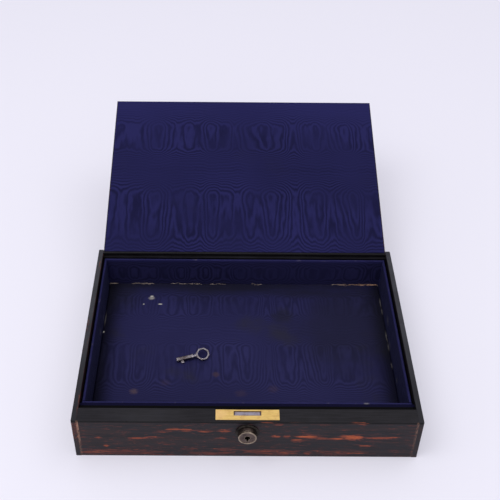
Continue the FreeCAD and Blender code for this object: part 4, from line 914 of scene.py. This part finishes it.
def threadMaterial(values):
    material, tree, shader = newMaterial("frayedThread")
    place = objectPlace(tree)
    twist = noise(tree, place, 900.0, 3.0, 0.6)
    towardsRight = fade(tree, axis(tree, place, "X"), *values["warmFrom"])
    colour = blend(tree, towardsRight, values["colour"], values["warm"])
    colour = blend(tree, fade(tree, twist, 0.7, 0.35, 0.0, 0.55), colour, values["shade"])
    connect(tree, shader.inputs, {
        "Base Color": colour, "Roughness": fade(tree, twist, 0.3, 0.8, 0.8, 0.6),
        "Specular IOR Level": values["specular"]})
    addBump(tree, shader, twist, values["depth"])
    return material


threads = frayedThreads(fray)
threads.data.materials.append(threadMaterial(fray))
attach(threads, "box")
print("frayed threads made")


# Cloth sheet under the base
clothLow, clothHigh = corners("base_baize")
clothSize = clothHigh - clothLow
clothSheet = silkCard("baseCloth", {
    "corner": (clothHigh[0], clothLow[1], clothHigh[2]), "sideways": (-1, 0, 0), "upwards": (0, 1, 0),
    "outwards": (0, 0, -1), "width": clothSize[0], "height": clothSize[1],
    "thickness": (clothSize[2], clothSize[2]), "rounding": 0.0008, "power": 2.0, "slack": 0.00012,
    "gather": 0.0, "steps": (150, 110), "cutStart": (0, 0)})
clothSheet.data.materials.append(woollenCloth(cloth))
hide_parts("base_baize")
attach(clothSheet, "box")
print("base cloth made")


# Light and ground. A lamp of power pi squared times its distance squared lights a face in front of it at
# level 1. Each lamp has a place, a size and a level.
studio = {"ground": (0.85, 0.838, 0.918), "half": 6, "drop": 0.0002, "glow": 0.36, "farGlow": 0.57,
          "glowFrom": (1.2, 4.0), "skyLevel": 0.78, "target": (0, 0.05, 0.03), "lamps": [
              ((-0.9, -0.5, 2.0), 1.3, 0.34), ((1.1, 0.4, 2.1), 1.3, 0.12), ((-0.1, -1.9, 1.3), 1.2, 0.08)]}


def addLamps(values):
    target = Vector(values["target"])
    for index, (place, size, level) in enumerate(values["lamps"]):
        data = bpy.data.lights.new("lamp%d" % index, "AREA")
        data.size = size
        distance = (Vector(place) - target).length
        data.energy = level * math.pi ** 2 * distance ** 2
        lamp = bpy.data.objects.new("lamp%d" % index, data)
        lamp.location = place
        lamp.rotation_mode = "QUATERNION"
        lamp.rotation_quaternion = (target - Vector(place)).to_track_quat("-Z", "Y")
        bpy.context.scene.collection.objects.link(lamp)


def addSky(values):
    # seen directly or in metal the sky has the ground's colour, and it lights the box a little less
    world = bpy.data.worlds.new("studio")
    world.use_nodes = True
    bpy.context.scene.world = world
    tree = world.node_tree
    rays = put(tree, "LightPath").outputs
    seen = most(tree, most(tree, rays["Is Camera Ray"], rays["Is Glossy Ray"]), rays["Is Transmission Ray"])
    strength = put(tree, "MapRange", {"Value": seen, "To Min": values["skyLevel"], "To Max": 1.0}).outputs[0]
    connect(tree, tree.nodes["Background"].inputs, {"Color": (*values["ground"], 1), "Strength": strength})


def addGround(values):
    half = values["half"]
    mesh = bpy.data.meshes.new("ground")
    mesh.from_pydata([(-half, -half, 0), (half, -half, 0), (half, half, 0), (-half, half, 0)], [],
                     [(0, 1, 2, 3)])
    ground = bpy.data.objects.new("ground", mesh)
    ground.location = (0, 0, -values["drop"])
    bpy.context.scene.collection.objects.link(ground)
    material, tree, shader = newMaterial("groundPaper")
    # the far ground glows a little more, so that it meets the background without an edge
    away = vectorCalc(tree, "LENGTH", objectPlace(tree))["Value"]
    glow = fade(tree, away, *values["glowFrom"], values["glow"], values["farGlow"])
    connect(tree, shader.inputs, {
        "Base Color": (*(v * (1 - values["glow"]) for v in values["ground"]), 1), "Roughness": 1.0,
        "Emission Color": (*values["ground"], 1), "Emission Strength": glow, "Specular IOR Level": 0.0})
    ground.data.materials.append(material)


addLamps(studio)
addSky(studio)
addGround(studio)
print("studio made")
